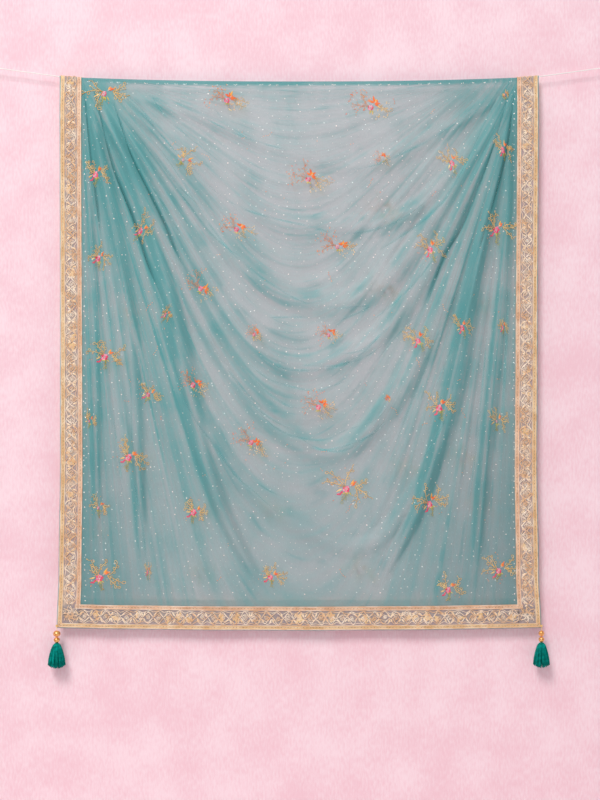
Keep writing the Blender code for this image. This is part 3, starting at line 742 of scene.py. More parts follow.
def lace_net():
    """Fine net of the lace, mauve-grey between its gold cords."""
    finish = Finish("lace_net", 0.6)
    z = finish.split(finish.place())[2]
    mesh = finish.noise(finish.place(), 260.0, 2.0)
    cloud = finish.noise(finish.place(), 40.0, 2.0)
    tone = cloud.ramp(0.3, 0.7).between(colour(200, 172, 170), colour(224, 198, 180))
    hem = (z * -1.0).ramp(HEM_CORNER - HEM_LACE, HEM_CORNER - HEM_LACE + 0.002)
    finish.set("Base Color", (hem * 0.45).between(tone, colour(148, 142, 149)))
    finish.set("Alpha", 0.66 + (mesh - 0.5) * 0.5)
    finish.bump(mesh, 0.0004)
    return finish.material


def gold_cord():
    """Pale gold metallic thread laid in cords."""
    finish = Finish("gold_cord", 0.38, Metallic=0.10)
    wear_and_highlight = finish.noise(finish.place(), 60.0, 3.0)
    strand = finish.noise(finish.place(), 900.0, 1.0)
    # Painted highlight: the random pale cream patches stand in for the shine of light on the metal thread,
    # mixed with uneven tone.
    finish.set("Base Color", wear_and_highlight.ramp(0.35, 0.65).between(colour(238, 192, 148), colour(255, 236, 214)))
    finish.set("Roughness", 0.30 + strand * 0.25)
    finish.bump(strand, 0.0002)
    return finish.material


def braid_gold(name, low, high):
    """The woven gold of a braid's ribbon."""
    finish = Finish(name, 0.5, Metallic=0.08)
    wear_and_highlight = finish.noise(finish.place(), 45.0, 3.0)
    strand = finish.noise(finish.place(), 700.0, 1.0)
    finish.set("Base Color", wear_and_highlight.ramp(0.35, 0.65).between(low, high))
    finish.bump(strand, 0.0002)
    return finish.material


def silk_thread(name, low, high, roughness=0.45, sheen=0.2, gloss=0.4):
    """Silk floss, uneven in tone."""
    finish = Finish(name, roughness, Sheen_Weight=sheen, Specular_IOR_Level=gloss)
    tone = finish.noise(finish.place(), 150.0, 2.0)
    finish.set("Base Color", tone.ramp(0.3, 0.7).between(low, high))
    finish.bump(finish.noise(finish.place(), 1600.0, 1.0), 0.0003)
    return finish.material


def bead_gold():
    """Polished copper-gold of the beads."""
    finish = Finish("bead_gold", 0.25, Metallic=0.65, Coat_Weight=0.6)
    tone = finish.noise(finish.place(), 220.0, 2.0)
    finish.set("Base Color", tone.ramp(0.3, 0.7).between(colour(224, 144, 66), colour(255, 200, 124)))
    finish.set("Roughness", 0.20 + tone * 0.14)
    finish.bump(tone, 0.0003)
    return finish.material


def sequin_pale():
    """Small pale sequins."""
    finish = Finish("sequin", 0.2, Metallic=0.2, Coat_Weight=0.6)
    tone = finish.noise(finish.place(), 90.0, 1.0)
    finish.set("Base Color", tone.ramp(0.35, 0.65).between(colour(214, 232, 230), colour(255, 238, 230)))
    return finish.material


def cotton():
    """White twisted cotton of the line."""
    finish = Finish("cotton_line", 0.85)
    fibre = finish.noise(finish.place(), 1800.0, 2.0)
    finish.set("Base Color", fibre.ramp(0.3, 0.7).between(colour(248, 240, 234), colour(255, 252, 249)))
    finish.bump(fibre, 0.0003)
    return finish.material


def plaster():
    """Pale pink painted wall, seen from its front alone."""
    finish = Finish("plaster", 0.9)
    x, y, z = finish.split(finish.place())
    broad = finish.noise(finish.place(), 11.0, 3.0)
    fine = finish.noise(finish.vector(x * 250, y, z * 80), 1.0, 4.0)
    tone = (broad * 0.50 + fine * 0.50).ramp(0.33, 0.67)
    finish.set("Base Color", tone.between(colour(245, 203, 213), colour(252, 224, 231)))
    finish.bump(fine, 0.0012, 0.3)
    clear = finish.base.node("ShaderNodeBsdfTransparent")
    behind = finish.base.node("ShaderNodeNewGeometry", output="Backfacing")
    output = finish.tree.nodes["Material Output"]
    painted = Shade(finish.tree, finish.shader.outputs[0])
    shown = finish.base.node("ShaderNodeMixShader", {}, {0: behind, 1: painted,
                                                         2: clear})
    finish.tree.links.new(shown.socket, output.inputs["Surface"])
    return finish.material


def floor_paint():
    """Plain pale floor."""
    finish = Finish("floor_paint", 0.8)
    tone = finish.noise(finish.place(), 3.0, 3.0)
    finish.set("Base Color", tone.between(colour(232, 222, 222), colour(244, 236, 236)))
    return finish.material


# Camera: straight on, as the photograph has it
CAMERA_X = 0.0016
CAMERA_AWAY = 3.25
CAMERA_Z = -0.6635
LENS = 70.0


def stand_camera():
    """The camera, level and square to the cloth."""
    data = bpy.data.cameras.new("camera")
    data.lens = LENS
    made = bpy.data.objects.new("camera", data)
    made.location = (CAMERA_X, -CAMERA_AWAY, CAMERA_Z)
    made.rotation_euler = (math.pi / 2, 0.0, 0.0)
    bpy.context.scene.collection.objects.link(made)
    bpy.context.scene.camera = made


Lamp = namedtuple("Lamp", "name place size power tint")
LAMPS = (
    Lamp("key", (-1.50, -4.60, 3.20), 2.0, 215.0, (1.0, 0.99, 0.975)),
    Lamp("fill", (-0.60, -4.80, 0.80), 2.4, 22.0, (1.0, 0.99, 0.975)),
    Lamp("behind", (-0.60, 3.20, 1.20), 2.4, 60.0, (1.0, 1.0, 1.0)),
)
AIM = Vector((0.0, 0.0, -0.60))


def hang_lamps():
    """Soft studio light: a key from the upper left, a broad fill, and one behind for the other side."""
    for lamp in LAMPS:
        data = bpy.data.lights.new(lamp.name, "AREA")
        data.size = lamp.size
        data.energy = lamp.power
        data.color = lamp.tint
        made = bpy.data.objects.new(lamp.name, data)
        made.location = lamp.place
        made.rotation_mode = "QUATERNION"
        made.rotation_quaternion = (AIM - made.location).to_track_quat("-Z", "Y")
        bpy.context.scene.collection.objects.link(made)
    world = bpy.data.worlds.new("studio")
    world.use_nodes = True
    world.node_tree.nodes["Background"].inputs["Color"].default_value = (0.93, 0.95, 1.0, 1.0)
    world.node_tree.nodes["Background"].inputs["Strength"].default_value = 0.40
    bpy.context.scene.world = world
    bpy.context.scene.view_settings.view_transform = "Standard"


WALL_BEHIND = 0.004
WALL_HALF = 3.0
FLOOR_Z = -1.75


def build_stage():
    """The wall just behind the cloth, and a pale floor below the view."""
    wall_y = cad_bounds[1].y + WALL_BEHIND
    corners = [(-WALL_HALF, wall_y, FLOOR_Z), (WALL_HALF, wall_y, FLOOR_Z),
               (WALL_HALF, wall_y, WALL_HALF), (-WALL_HALF, wall_y, WALL_HALF)]
    for name, points, look in (
        ("wall", corners, plaster()),
        ("floor", [(-WALL_HALF, -WALL_HALF, FLOOR_Z), (WALL_HALF, -WALL_HALF, FLOOR_Z),
                   (WALL_HALF, WALL_HALF, FLOOR_Z), (-WALL_HALF, WALL_HALF, FLOOR_Z)], floor_paint()),
    ):
        mesh = bpy.data.meshes.new(name)
        mesh.from_pydata(points, [], [(0, 1, 2, 3)])
        mesh.materials.append(look)
        made = bpy.data.objects.new(name, mesh)
        bpy.context.scene.collection.objects.link(made)
        made.visible_shadow = False


# The line: three plies twisted together
PLIES = 3
PLY_RADIUS = 0.00066
PLY_OFFSET = 0.00062
TWIST_LONG = 0.0085
TWIST_STEPS = 7


def twisted(pile, path, closed=False):
    """Three plies twisted round a path of evenly spaced points."""
    path = np.asarray(path, dtype=float)
    along = (np.roll(path, -1, axis=0) - np.roll(path, 1, axis=0)) if closed else np.gradient(path, axis=0)
    steps = np.linalg.norm(np.diff(path, axis=0), axis=1)
    run = np.concatenate(((0.0,), np.cumsum(steps)))
    along /= np.linalg.norm(along, axis=1)[:, None]
    deep = np.broadcast_to((0.0, 1.0, 0.0), path.shape)
    beside = np.cross(along, deep)
    whole = run[-1] + (np.linalg.norm(path[0] - path[-1]) if closed else 0.0)
    turns = round(whole / TWIST_LONG)
    for ply in range(PLIES):
        angle = 2 * math.pi * (run / whole * turns + ply / PLIES)
        offset = np.cos(angle)[:, None] * deep + np.sin(angle)[:, None] * beside
        strand = path + PLY_OFFSET * offset
        make = hoop if closed else rod
        pile.add(*make(strand, PLY_RADIUS, offset, sides=5))


def spread_evenly(points, step):
    """Points a given step apart along a path."""
    points = np.asarray(points, dtype=float)
    run = np.concatenate(((0.0,), np.cumsum(np.linalg.norm(np.diff(points, axis=0), axis=1))))
    stations = np.linspace(0.0, run[-1], max(2, round(run[-1] / step) + 1))
    return np.column_stack([np.interp(stations, run, points[:, axis]) for axis in range(3)])


def line_path():
    """The line's own route, the same as its solid's."""
    x = LINE_END_X * (2.0 * np.arange(LINE_POINTS) / (LINE_POINTS - 1) - 1.0)
    return np.column_stack((x, np.zeros_like(x), line_height(x)))


KNOT_LONG = 0.012
KNOT_RADIUS = 0.0032
KNOT_TURNS = 4
LOOP_LONG = 0.024
LOOP_WIDE = 0.013
LOOP_NARROW = 0.40
SEAM = 0.0003


def string_line():
    """The cotton line with its two end knots and loops."""
    look = cotton()
    path = line_path()
    step = TWIST_LONG / TWIST_STEPS
    pile = Pile()
    twisted(pile, spread_evenly(path, step))
    line = pile.piece("cotton_line", look, "cotton_line")
    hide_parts("hanging_line")
    ends = []
    for side, sign in (("left", -1), ("right", 1)):
        along = Vector((sign, 0.0, OUTER_SLOPE)).normalized()
        up = Vector((-sign * along.z, 0.0, abs(along.x)))
        start = Vector((sign * LINE_END_X, 0.0, float(line_height(LINE_END_X)))) + along * SEAM
        coil = []
        for stage in range(12 * KNOT_TURNS + 1):
            angle = 2 * math.pi * stage / 12
            share = stage / (12 * KNOT_TURNS)
            radius = (KNOT_RADIUS - LINE_RADIUS) * (0.75 + 0.25 * math.sin(math.pi * share))
            around = up * math.cos(angle) + Vector((0.0, 1.0, 0.0)) * math.sin(angle)
            coil.append(start + along * mix(LINE_RADIUS, KNOT_LONG - LINE_RADIUS, share) + around * radius)
        wrap = Pile()
        wrap.add(*rod(coil, LINE_RADIUS * 1.05, tuple(along), sides=6))
        core = [start + along * (KNOT_LONG * share) for share in (0.02, 0.5, 0.98)]
        wrap.add(*rod(core, LINE_RADIUS, (0.0, 1.0, 0.0), sides=6))
        knot_piece = wrap.piece("line_knot_" + side, look, "cotton_line")
        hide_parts("end_knot_" + side)
        loop_start = start + along * (KNOT_LONG + SEAM + LINE_RADIUS)
        loop = []
        for step_number in range(60):
            angle = 2 * math.pi * step_number / 60
            reach = 0.5 - 0.5 * math.cos(angle)
            swell = math.sin(angle) * mix(LOOP_NARROW, 1.0, reach)
            loop.append(loop_start + along * (LOOP_LONG * reach) + up * (LOOP_WIDE / 2 * swell))
        ring = Pile()
        twisted(ring, loop, closed=True)
        loop_piece = ring.piece("line_loop_" + side, look, "cotton_line")
        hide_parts("end_loop_" + side)
        ends += [knot_piece, loop_piece]
    return line


# How dense the cloth looks, by swag share: sparse where it hangs smooth, dense in the side fans
DENSITY_SHARE = (0.00, 0.18, 0.34, 0.52, 0.64, 0.72, 0.79, 0.84, 0.90, 0.95, 1.00)
DENSITY_LEFT = (0.22, 0.17, 0.18, 0.28, 0.38, 0.46, 0.56, 0.42, 0.34, 0.40, 0.56)
DENSITY_RIGHT = (0.22, 0.16, 0.16, 0.20, 0.26, 0.34, 0.46, 0.40, 0.32, 0.40, 0.56)
DENSITY_TOP = 0.90
BAND_DOWN = 0.0085
CALM_DENSE = 0.34
CORNER_FAN_X = 0.450
CORNER_FAN_REACH = 0.090
CORNER_FAN_DENSE = 0.42


def lay_cloth():
    """The whole cloth, from the front hem over the line to the back hem, as one thin sheet."""
    front = -np.linspace(1.0, 0.0, FRONT_ROWS)[:-1]
    arc = np.linspace(-1.0, 1.0, ARC_ROWS)
    back = np.linspace(0.0, 1.0, BACK_ROWS)[1:]
    across = np.linspace(0.0, 1.0, COLUMNS)
    runs = [row * (full_run(across, True) - ARC_HALF) - ARC_HALF for row in front]
    runs += [np.full(COLUMNS, bend * ARC_HALF) for bend in arc]
    runs += [row * (full_run(across, False) - ARC_HALF) + ARC_HALF for row in back]
    run = np.concatenate(runs)
    everywhere = np.tile(across, len(runs))
    points = drape(everywhere, run, 0.0)
    cloth = new_piece("organza_cloth", points, grid_faces(COLUMNS, len(runs)), organza())
    x, z = points[:, 0], points[:, 2]
    down = -z
    share = SWAGS.at(x, down)
    left = np.interp(share, DENSITY_SHARE, DENSITY_LEFT)
    right = np.interp(share, DENSITY_SHARE, DENSITY_RIGHT)
    density = mix(left, right, smooth(x / 0.16 + 0.5))
    heights = np.where(run < 0, FRONT_DEPTH.at(x, down), BACK_DEPTH.at(x, down))
    beside = np.where(run < 0, FRONT_DEPTH.at(x + 0.004, down), BACK_DEPTH.at(x + 0.004, down))
    below = np.where(run < 0, FRONT_DEPTH.at(x, down + 0.004), BACK_DEPTH.at(x, down + 0.004))
    slope = np.hypot(beside - heights, below - heights) / 0.004
    corner = np.hypot(np.abs(x) - CORNER_FAN_X, down)
    density = density + CORNER_FAN_DENSE * np.exp(-corner / CORNER_FAN_REACH)
    density = density + 0.14 * smooth((np.abs(x) - 0.24) / 0.14) * smooth((0.46 - down) / 0.26)
    density = density + 0.45 * (smooth(slope / 0.9) - 0.15)
    edges = smooth((np.abs(x) - 0.38) / 0.06) * smooth((down - 0.30) / 0.40)
    low_sides = np.maximum(edges, smooth((np.abs(x) - 0.12) / 0.20) * smooth((down - 0.72) / 0.30))
    density = density + 0.17 * low_sides
    over = np.where(run < 0, x, -x)
    density = density + DOUBLED.at(over, down) * np.where(run < 0, 1.0, 0.5) * (1.0 - 0.5 * low_sides)
    calm = smooth((down - CALM_FROM) / CALM_LONG) * smooth((0.34 - np.abs(x + 0.03)) / 0.20)
    density = mix(density, CALM_DENSE, 0.80 * calm)
    pleat = PLEATS.at(over, down) * np.where(run < 0, 1.0, 0.35)
    pleat = pleat * (1.0 - 0.5 * calm) * (1.0 - 0.45 * low_sides)
    pressed = smooth((ARC_HALF + BAND_DOWN + 0.0015 - np.abs(run)) / 0.003)
    density = mix(density, DENSITY_TOP, pressed)
    pleat = mix(pleat, 0.40, pressed)
    for name, values in (("gather", density), ("swag", share), ("pleat", pleat)):
        kept = cloth.data.attributes.new(name, "FLOAT", "POINT")
        kept.data.foreach_set("value", values.astype(np.float32))
    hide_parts("front_fall", "line_fold", "back_fall")
    return cloth


# Tucks: narrow strips along the deep pleats, where the cloth lies over itself with a crisp edge
TUCK_WIDE = 0.0032
TUCK_LIFT = 0.0010
TUCK_FROM = 0.75
FINE_WIDE = 0.0038
FINE_LIFT = 0.0005
FINE_CREASES = (
    ((0.010, 0.470), (0.084, 0.474), (0.163, 0.466)),
    ((-0.079, 0.491), (-0.010, 0.489), (0.056, 0.491)),
    ((0.054, 0.512), (0.121, 0.485), (0.161, 0.462)),
    ((0.077, 0.568), (0.130, 0.562), (0.176, 0.523), (0.196, 0.504)),
    ((-0.105, 0.562), (-0.052, 0.591), (0.002, 0.600), (0.067, 0.596), (0.121, 0.571), (0.161, 0.537),
     (0.203, 0.500)),
    ((-0.105, 0.587), (-0.077, 0.610), (-0.040, 0.627), (0.029, 0.642), (0.067, 0.633), (0.109, 0.621)),
    ((-0.105, 0.610), (-0.065, 0.646), (-0.025, 0.673), (0.013, 0.683)),
    ((-0.117, 0.654), (-0.077, 0.696), (-0.036, 0.727), (0.010, 0.742), (0.056, 0.744), (0.096, 0.725),
     (0.161, 0.702),
     (0.203, 0.648)),
    ((-0.038, 0.750), (0.029, 0.763), (0.061, 0.765), (0.109, 0.752), (0.161, 0.727), (0.196, 0.692)),
    ((0.161, 0.581), (0.209, 0.527), (0.255, 0.474)),
    ((0.257, 0.596), (0.280, 0.552), (0.314, 0.474), (0.339, 0.420)),
    ((0.280, 0.648), (0.314, 0.568), (0.334, 0.525)),
    ((0.251, 0.794), (0.280, 0.754), (0.305, 0.702), (0.326, 0.640)),
    ((-0.105, 0.817), (-0.079, 0.840), (-0.042, 0.863)),
    ((-0.385, 0.014), (-0.351, 0.040), (-0.316, 0.077), (-0.274, 0.125), (-0.255, 0.153)),
    ((-0.311, 0.015), (-0.297, 0.046), (-0.270, 0.079), (-0.234, 0.109), (-0.190, 0.146), (-0.148, 0.182)),
    ((-0.182, 0.048), (-0.148, 0.088), (-0.105, 0.121)),
    ((-0.374, 0.067), (-0.336, 0.098), (-0.301, 0.146), (-0.268, 0.194), (-0.230, 0.238), (-0.176, 0.288)),
    ((-0.336, 0.163), (-0.309, 0.215), (-0.282, 0.253), (-0.255, 0.301), (-0.230, 0.334), (-0.203, 0.366)),
    ((-0.255, 0.228), (-0.230, 0.253), (-0.190, 0.307), (-0.148, 0.347), (-0.105, 0.376)),
)


def strip_along(pile, route, wide, lift, shape):
    """A narrow strip of cloth laid along a route; shape gives its width by the share of the way."""
    share, x, down = np.array(route_points(route)).T
    along = np.gradient(np.column_stack((x, down)), axis=0)
    along /= np.linalg.norm(along, axis=1)[:, None]
    sign = 1.0 if x[0] < 0 else -1.0
    width = sign * wide * shape(share)
    columns = [
        np.column_stack((x - along[:, 1] * width * reach, -down - along[:, 0] * width * reach,
                         np.full(len(x), high)))
        for reach, high in ((0.0, lift), (0.5, lift * 0.8), (1.0, 0.0003))
    ]
    strip = np.stack(columns, axis=1).reshape(-1, 3)
    faces = grid_faces(3, len(x))
    pile.add(strip, faces if sign < 0 else [face[::-1] for face in faces])


def tuck_cloth():
    """Strips of doubled cloth along the deep pleats of the front fall."""
    pile = Pile()
    for pleat in DARK_PLEATS:
        if pleat.deep >= TUCK_FROM:
            strip_along(pile, pleat.route, TUCK_WIDE * pleat.deep, TUCK_LIFT,
                        lambda share: smooth(share / 0.2) * smooth((1.0 - share) / 0.7))
    look = tuck_shade("organza_tuck", TEAL_DEEP, colour(66, 140, 139), 0.10, 0.34)
    return pile.piece("cloth_tucks", look, "organza", on_front)


def crease_cloth():
    """Thin bright creases of the front fall, along its shallow pleats and between them."""
    pile = Pile()
    routes = [pleat.route for pleat in DARK_PLEATS if pleat.deep < TUCK_FROM] + list(FINE_CREASES)
    for route in routes:
        strip_along(pile, route, FINE_WIDE, FINE_LIFT,
                    lambda share: smooth(share / 0.35) * smooth((1.0 - share) / 0.35))
    look = tuck_shade("organza_crease", colour(78, 184, 186), colour(112, 204, 204), 0.0, 0.36)
    return pile.piece("cloth_creases", look,
                      "organza", on_front)


# Lace: widths across it, and the length of one lobe of its looped cords
BRAID_WIDE = 0.0088
NET_LIFT = 0.0007
CORD_LIFT = 0.0014
CORD_HALF = 0.00100
CORD_STEP = 0.0024
CORD_ROUND = 0.55
LOBE_LONG = 0.0220
RING_HALF = 0.0068
STITCH_LONG = 0.0030
BEND_HALF = 0.0060
FILLED_HEM = 0.30
FILLED_SIDE = 0.12


def wandering(along, spots):
    """How far across the lace a looped cord lies at places along it, swinging from spot to spot."""
    places, values = np.array(spots).T
    span = np.clip(np.searchsorted(places, along) - 1, 0, len(places) - 2)
    share = (along - places[span]) / (places[span + 1] - places[span])
    return mix(values[span], values[span + 1], mix(share, smooth(share), CORD_ROUND))


def stations(length, step, crest):
    """Places along a strip: a step apart, and close together where it bends over the line."""
    even = np.linspace(0.0, length, max(2, round(length / step)) + 1)
    if crest is None:
        return even
    bend = np.linspace(crest - BEND_HALF, crest + BEND_HALF, 25)
    return np.sort(np.concatenate((even[np.abs(even - crest) > BEND_HALF + 0.0004], bend)))


def lace_cords(cords, leaves, fillings, beads, start, end, wide, crest, filled, uneven):
    """Looped cords that cross in uneven cells, with a small rosette or ring in most of them."""
    middle, reach = wide / 2, (wide / 2 - BRAID_WIDE) * 0.98
    lobes = max(1, round((end - start) / LOBE_LONG))
    lobe_long = (end - start) / lobes
    along = stations(end - start, CORD_STEP, None if crest is None else crest - start) + start
    crossings = [(start + lobe * lobe_long + uneven.uniform(-0.0022, 0.0022),
                  middle + uneven.uniform(-0.0035, 0.0035))
                 for lobe in range(lobes + 1)]
    for side in (-1, 1):
        for low, high, half in ((0.74, 1.0, 1.0), (0.42, 0.80, 0.8)):
            spots = []
            for lobe, (place, across) in enumerate(crossings):
                spots.append((place, across + side * uneven.uniform(0.0, 0.0010)))
                spots.append((place + lobe_long * uneven.uniform(0.36, 0.64),
                              middle + side * reach * uneven.uniform(low, high)))
            path = np.column_stack((wandering(along, spots), along,
                                    CORD_LIFT + 0.0003 * side * np.sin(along * 400)))
            cords.add(*rod(path, CORD_HALF * half, UP_FROM_CLOTH))
        spots = []
        for number in range(2 * lobes + 2):
            out = uneven.uniform(0.86, 1.0) if number % 2 else uneven.uniform(0.46, 0.78)
            spots.append((start + (number + uneven.uniform(-0.25, 0.25)) * lobe_long / 2,
                          middle + side * reach * out))
        path = np.column_stack((wandering(along, spots), along, np.full(len(along), CORD_LIFT - 0.0002)))
        cords.add(*rod(path, CORD_HALF * 0.75, UP_FROM_CLOTH))
    for lobe in range(lobes):
        low = start + lobe * lobe_long
        if crest is not None and low - BEND_HALF < crest < low + lobe_long + BEND_HALF:
            continue
        centre = (middle + uneven.uniform(-0.0022, 0.0022), low + lobe_long * uneven.uniform(0.40, 0.60))
        rosette(cords, beads, centre, RING_HALF * uneven.uniform(0.62, 0.95), uneven.choice((3, 4, 5, 6)),
                uneven)
        if uneven.random() < filled:
            turn = uneven.uniform(0.0, 6.0)
            for number in range(uneven.choice((3, 4, 6))):
                points, faces = petal(centre, turn + 0.8 * number, reach * uneven.uniform(0.50, 0.95), 0.0062,
                                      0.0010)
                fillings.add(points + (0.0, 0.0, CORD_LIFT - 0.0004), faces)
        for side in (-1, 1):
            for turn in (0.55, -0.55):
                if uneven.random() < 0.7:
                    root = (middle + side * reach * 0.12, low + 0.0008 * turn)
                    facing = (0.0 if side > 0 else math.pi) + turn * side * uneven.uniform(0.6, 1.4)
                    points, faces = petal(root, facing, reach * uneven.uniform(0.55, 0.85), 0.0036, 0.0010)
                    leaves.add(points + (0.0, 0.0, CORD_LIFT - 0.0006), faces)
        for dx, dz in ((0.0, -lobe_long / 2), (reach * 0.92, 0.0), (-reach * 0.92, 0.0)):
            if uneven.random() < 0.7:
                points, faces = knot((centre[0] + dx * uneven.uniform(0.7, 1.0), centre[1] + dz), 0.0011,
                                     0.0012)
                beads.add(np.array(points) + (0.0, 0.0, CORD_LIFT), faces)


def rosette(cords, beads, centre, reach, petals, uneven):
    """A small flower of looped cord with a bead in its middle."""
    spin = uneven.uniform(-0.3, 0.3)
    angles = 2 * math.pi * np.arange(petals * 3) / (petals * 3)
    wave = reach * (0.84 + 0.20 * np.cos(petals * angles)) * (1.0 + 0.18 * np.cos(2 * angles + 9 * spin))
    outline = np.column_stack((centre[0] + wave * np.cos(angles + spin),
                               centre[1] + wave * np.sin(angles + spin),
                               np.full(len(angles), CORD_LIFT)))
    cords.add(*hoop(outline, CORD_HALF * 0.9, UP_FROM_CLOTH))
    angles = 2 * math.pi * np.arange(6) / 6
    heart = np.column_stack((centre[0] + 0.40 * reach * np.cos(angles),
                             centre[1] + 0.40 * reach * np.sin(angles),
                             np.full(6, CORD_LIFT)))
    cords.add(*hoop(heart, CORD_HALF * 0.9, UP_FROM_CLOTH))
    if uneven.random() < 0.6:
        points, faces = knot(centre, 0.0010, 0.0012)
        beads.add(np.array(points) + (0.0, 0.0, CORD_LIFT), faces)


def lace_corner(cords, beads, wide, high, uneven):
    """The dense flower of looped cord that fills a corner of the lace."""
    centre = (wide / 2 + 0.0030, high / 2 + 0.0030)
    reach = 0.0150
    for number, share in enumerate((1.0, 0.78, 0.52)):
        rosette(cords, beads, centre, reach * share, 8 - 2 * number, uneven)
    for turn in range(8):
        angle = 2 * math.pi * (turn + 0.5) / 8
        path = [(centre[0] + reach * a * math.cos(angle + 0.5 * (a - 0.3)),
                 centre[1] + reach * a * math.sin(angle + 0.5 * (a - 0.3)), CORD_LIFT + 0.0003)
                for a in (0.25, 0.6, 0.95, 1.2)]
        cords.add(*rod(path, CORD_HALF, UP_FROM_CLOTH))


def lace_braid(cords, stitches, shade_dots, start, end, across_start, crest, lift, uneven):
    """A narrow braid: two edge cords, a row of small raised stitches and dark dots between them, a painted
    shade in the gap between each two stitches.
    """
    along = stations(end - start, 0.006, None if crest is None else crest - start) + start
    for across in (0.0009, BRAID_WIDE - 0.0009):
        path = np.column_stack((np.full(len(along), across_start + across), along, np.full(len(along), lift)))
        cords.add(*rod(path, 0.00085, UP_FROM_CLOTH))
    for number in range(int((end - start) / STITCH_LONG)):
        along_here = start + (number + 0.5) * STITCH_LONG
        if crest is not None and abs(along_here - crest) < BEND_HALF:
            continue
        across = across_start + BRAID_WIDE / 2 + uneven.uniform(-0.0002, 0.0002)
        angle = 0.6 if number % 2 else -0.6
        points, faces = petal((across - 0.0017 * math.cos(angle), along_here - 0.0017 * math.sin(angle)),
                              angle,
                              0.0034, 0.0020, 0.0009)
        stitches.add(points + (0.0, 0.0, lift - 0.0003), faces)
        # Painted shade: a dark dot where shade falls between two stitches.
        points, faces = dot((across, along_here + STITCH_LONG / 2), uneven.uniform(0.0006, 0.0010), 0.0004)
        shade_dots.add(points + (0.0, 0.0, lift + 0.0002), faces)


def strip_ground(pile, start, end, across_start, wide, lift, crest):
    """A plain ribbon laid out along a strip, with rows every 6 mm."""
    along = stations(end - start, 0.006, None if crest is None else crest - start) + start
    columns = 5
    across = np.linspace(across_start, across_start + wide, columns)
    rows = len(along)
    points = np.column_stack((np.tile(across, rows), np.repeat(along, columns),
                              np.full(rows * columns, lift)))
    pile.add(points, grid_faces(columns, rows))


def side_place(left):
    """Puts a strip on one side of the cloth: it starts at the front hem and runs over the line."""
    def place(points):
        """Across the lace from its outer edge, along it from the front hem, and lift."""
        inward, along, lift = points.T
        spread = SIDE_SPREAD * smooth(1.0 - along / SIDE_SPREAD_LONG)
        across = (HEM_SHOWS + inward * (1.0 + spread)) / CLOTH_WIDE
        across = across if left else 1.0 - across
        return drape(across, HEM_SHOWS + along - full_run(across, True), lift)
    return place


def hem_place(front):
    """Puts a strip on a hem: it starts at the left edge of the cloth."""
    def place(points):
        """Up the lace from its outer edge, along it from the left edge of the cloth, and lift."""
        inward, along, lift = points.T
        across = along / CLOTH_WIDE
        run = full_run(across, front) - HEM_SHOWS - inward
        return drape(across, -run if front else run, lift)
    return place


Strip = namedtuple("Strip", "name place wide start end inner_start inner_end "
                            "field_start field_end crest flip nodes")


def lace_strips():
    """The four strips of the lace, with how far their parts run between the corners."""
    front_run, back_run = float(full_run(0.03, True)), float(full_run(0.03, False))
    side_end = front_run + back_run - 2 * HEM_SHOWS
    side_inner = HEM_LACE - BRAID_WIDE
    hem_start = HEM_SHOWS + SIDE_LACE
    hem_end = CLOTH_WIDE - hem_start
    crest = front_run - HEM_SHOWS
    strips = []
    for name, left in (("left", True), ("right", False)):
        strips.append(Strip(name, side_place(left), SIDE_LACE, 0.0, side_end, side_inner,
                            side_end - side_inner,
                            HEM_LACE, side_end - HEM_LACE, crest, not left,
                            [f"lace_{name}_{part}" for part in ("front", "over_line", "back")]))
    for name, front in (("hem_front", True), ("hem_back", False)):
        strips.append(Strip(name, hem_place(front), HEM_LACE, HEM_SHOWS, CLOTH_WIDE - HEM_SHOWS,
                            hem_start - BRAID_WIDE, hem_end + BRAID_WIDE, hem_start, hem_end, None, front,
                            ["lace_" + name]))
    return strips


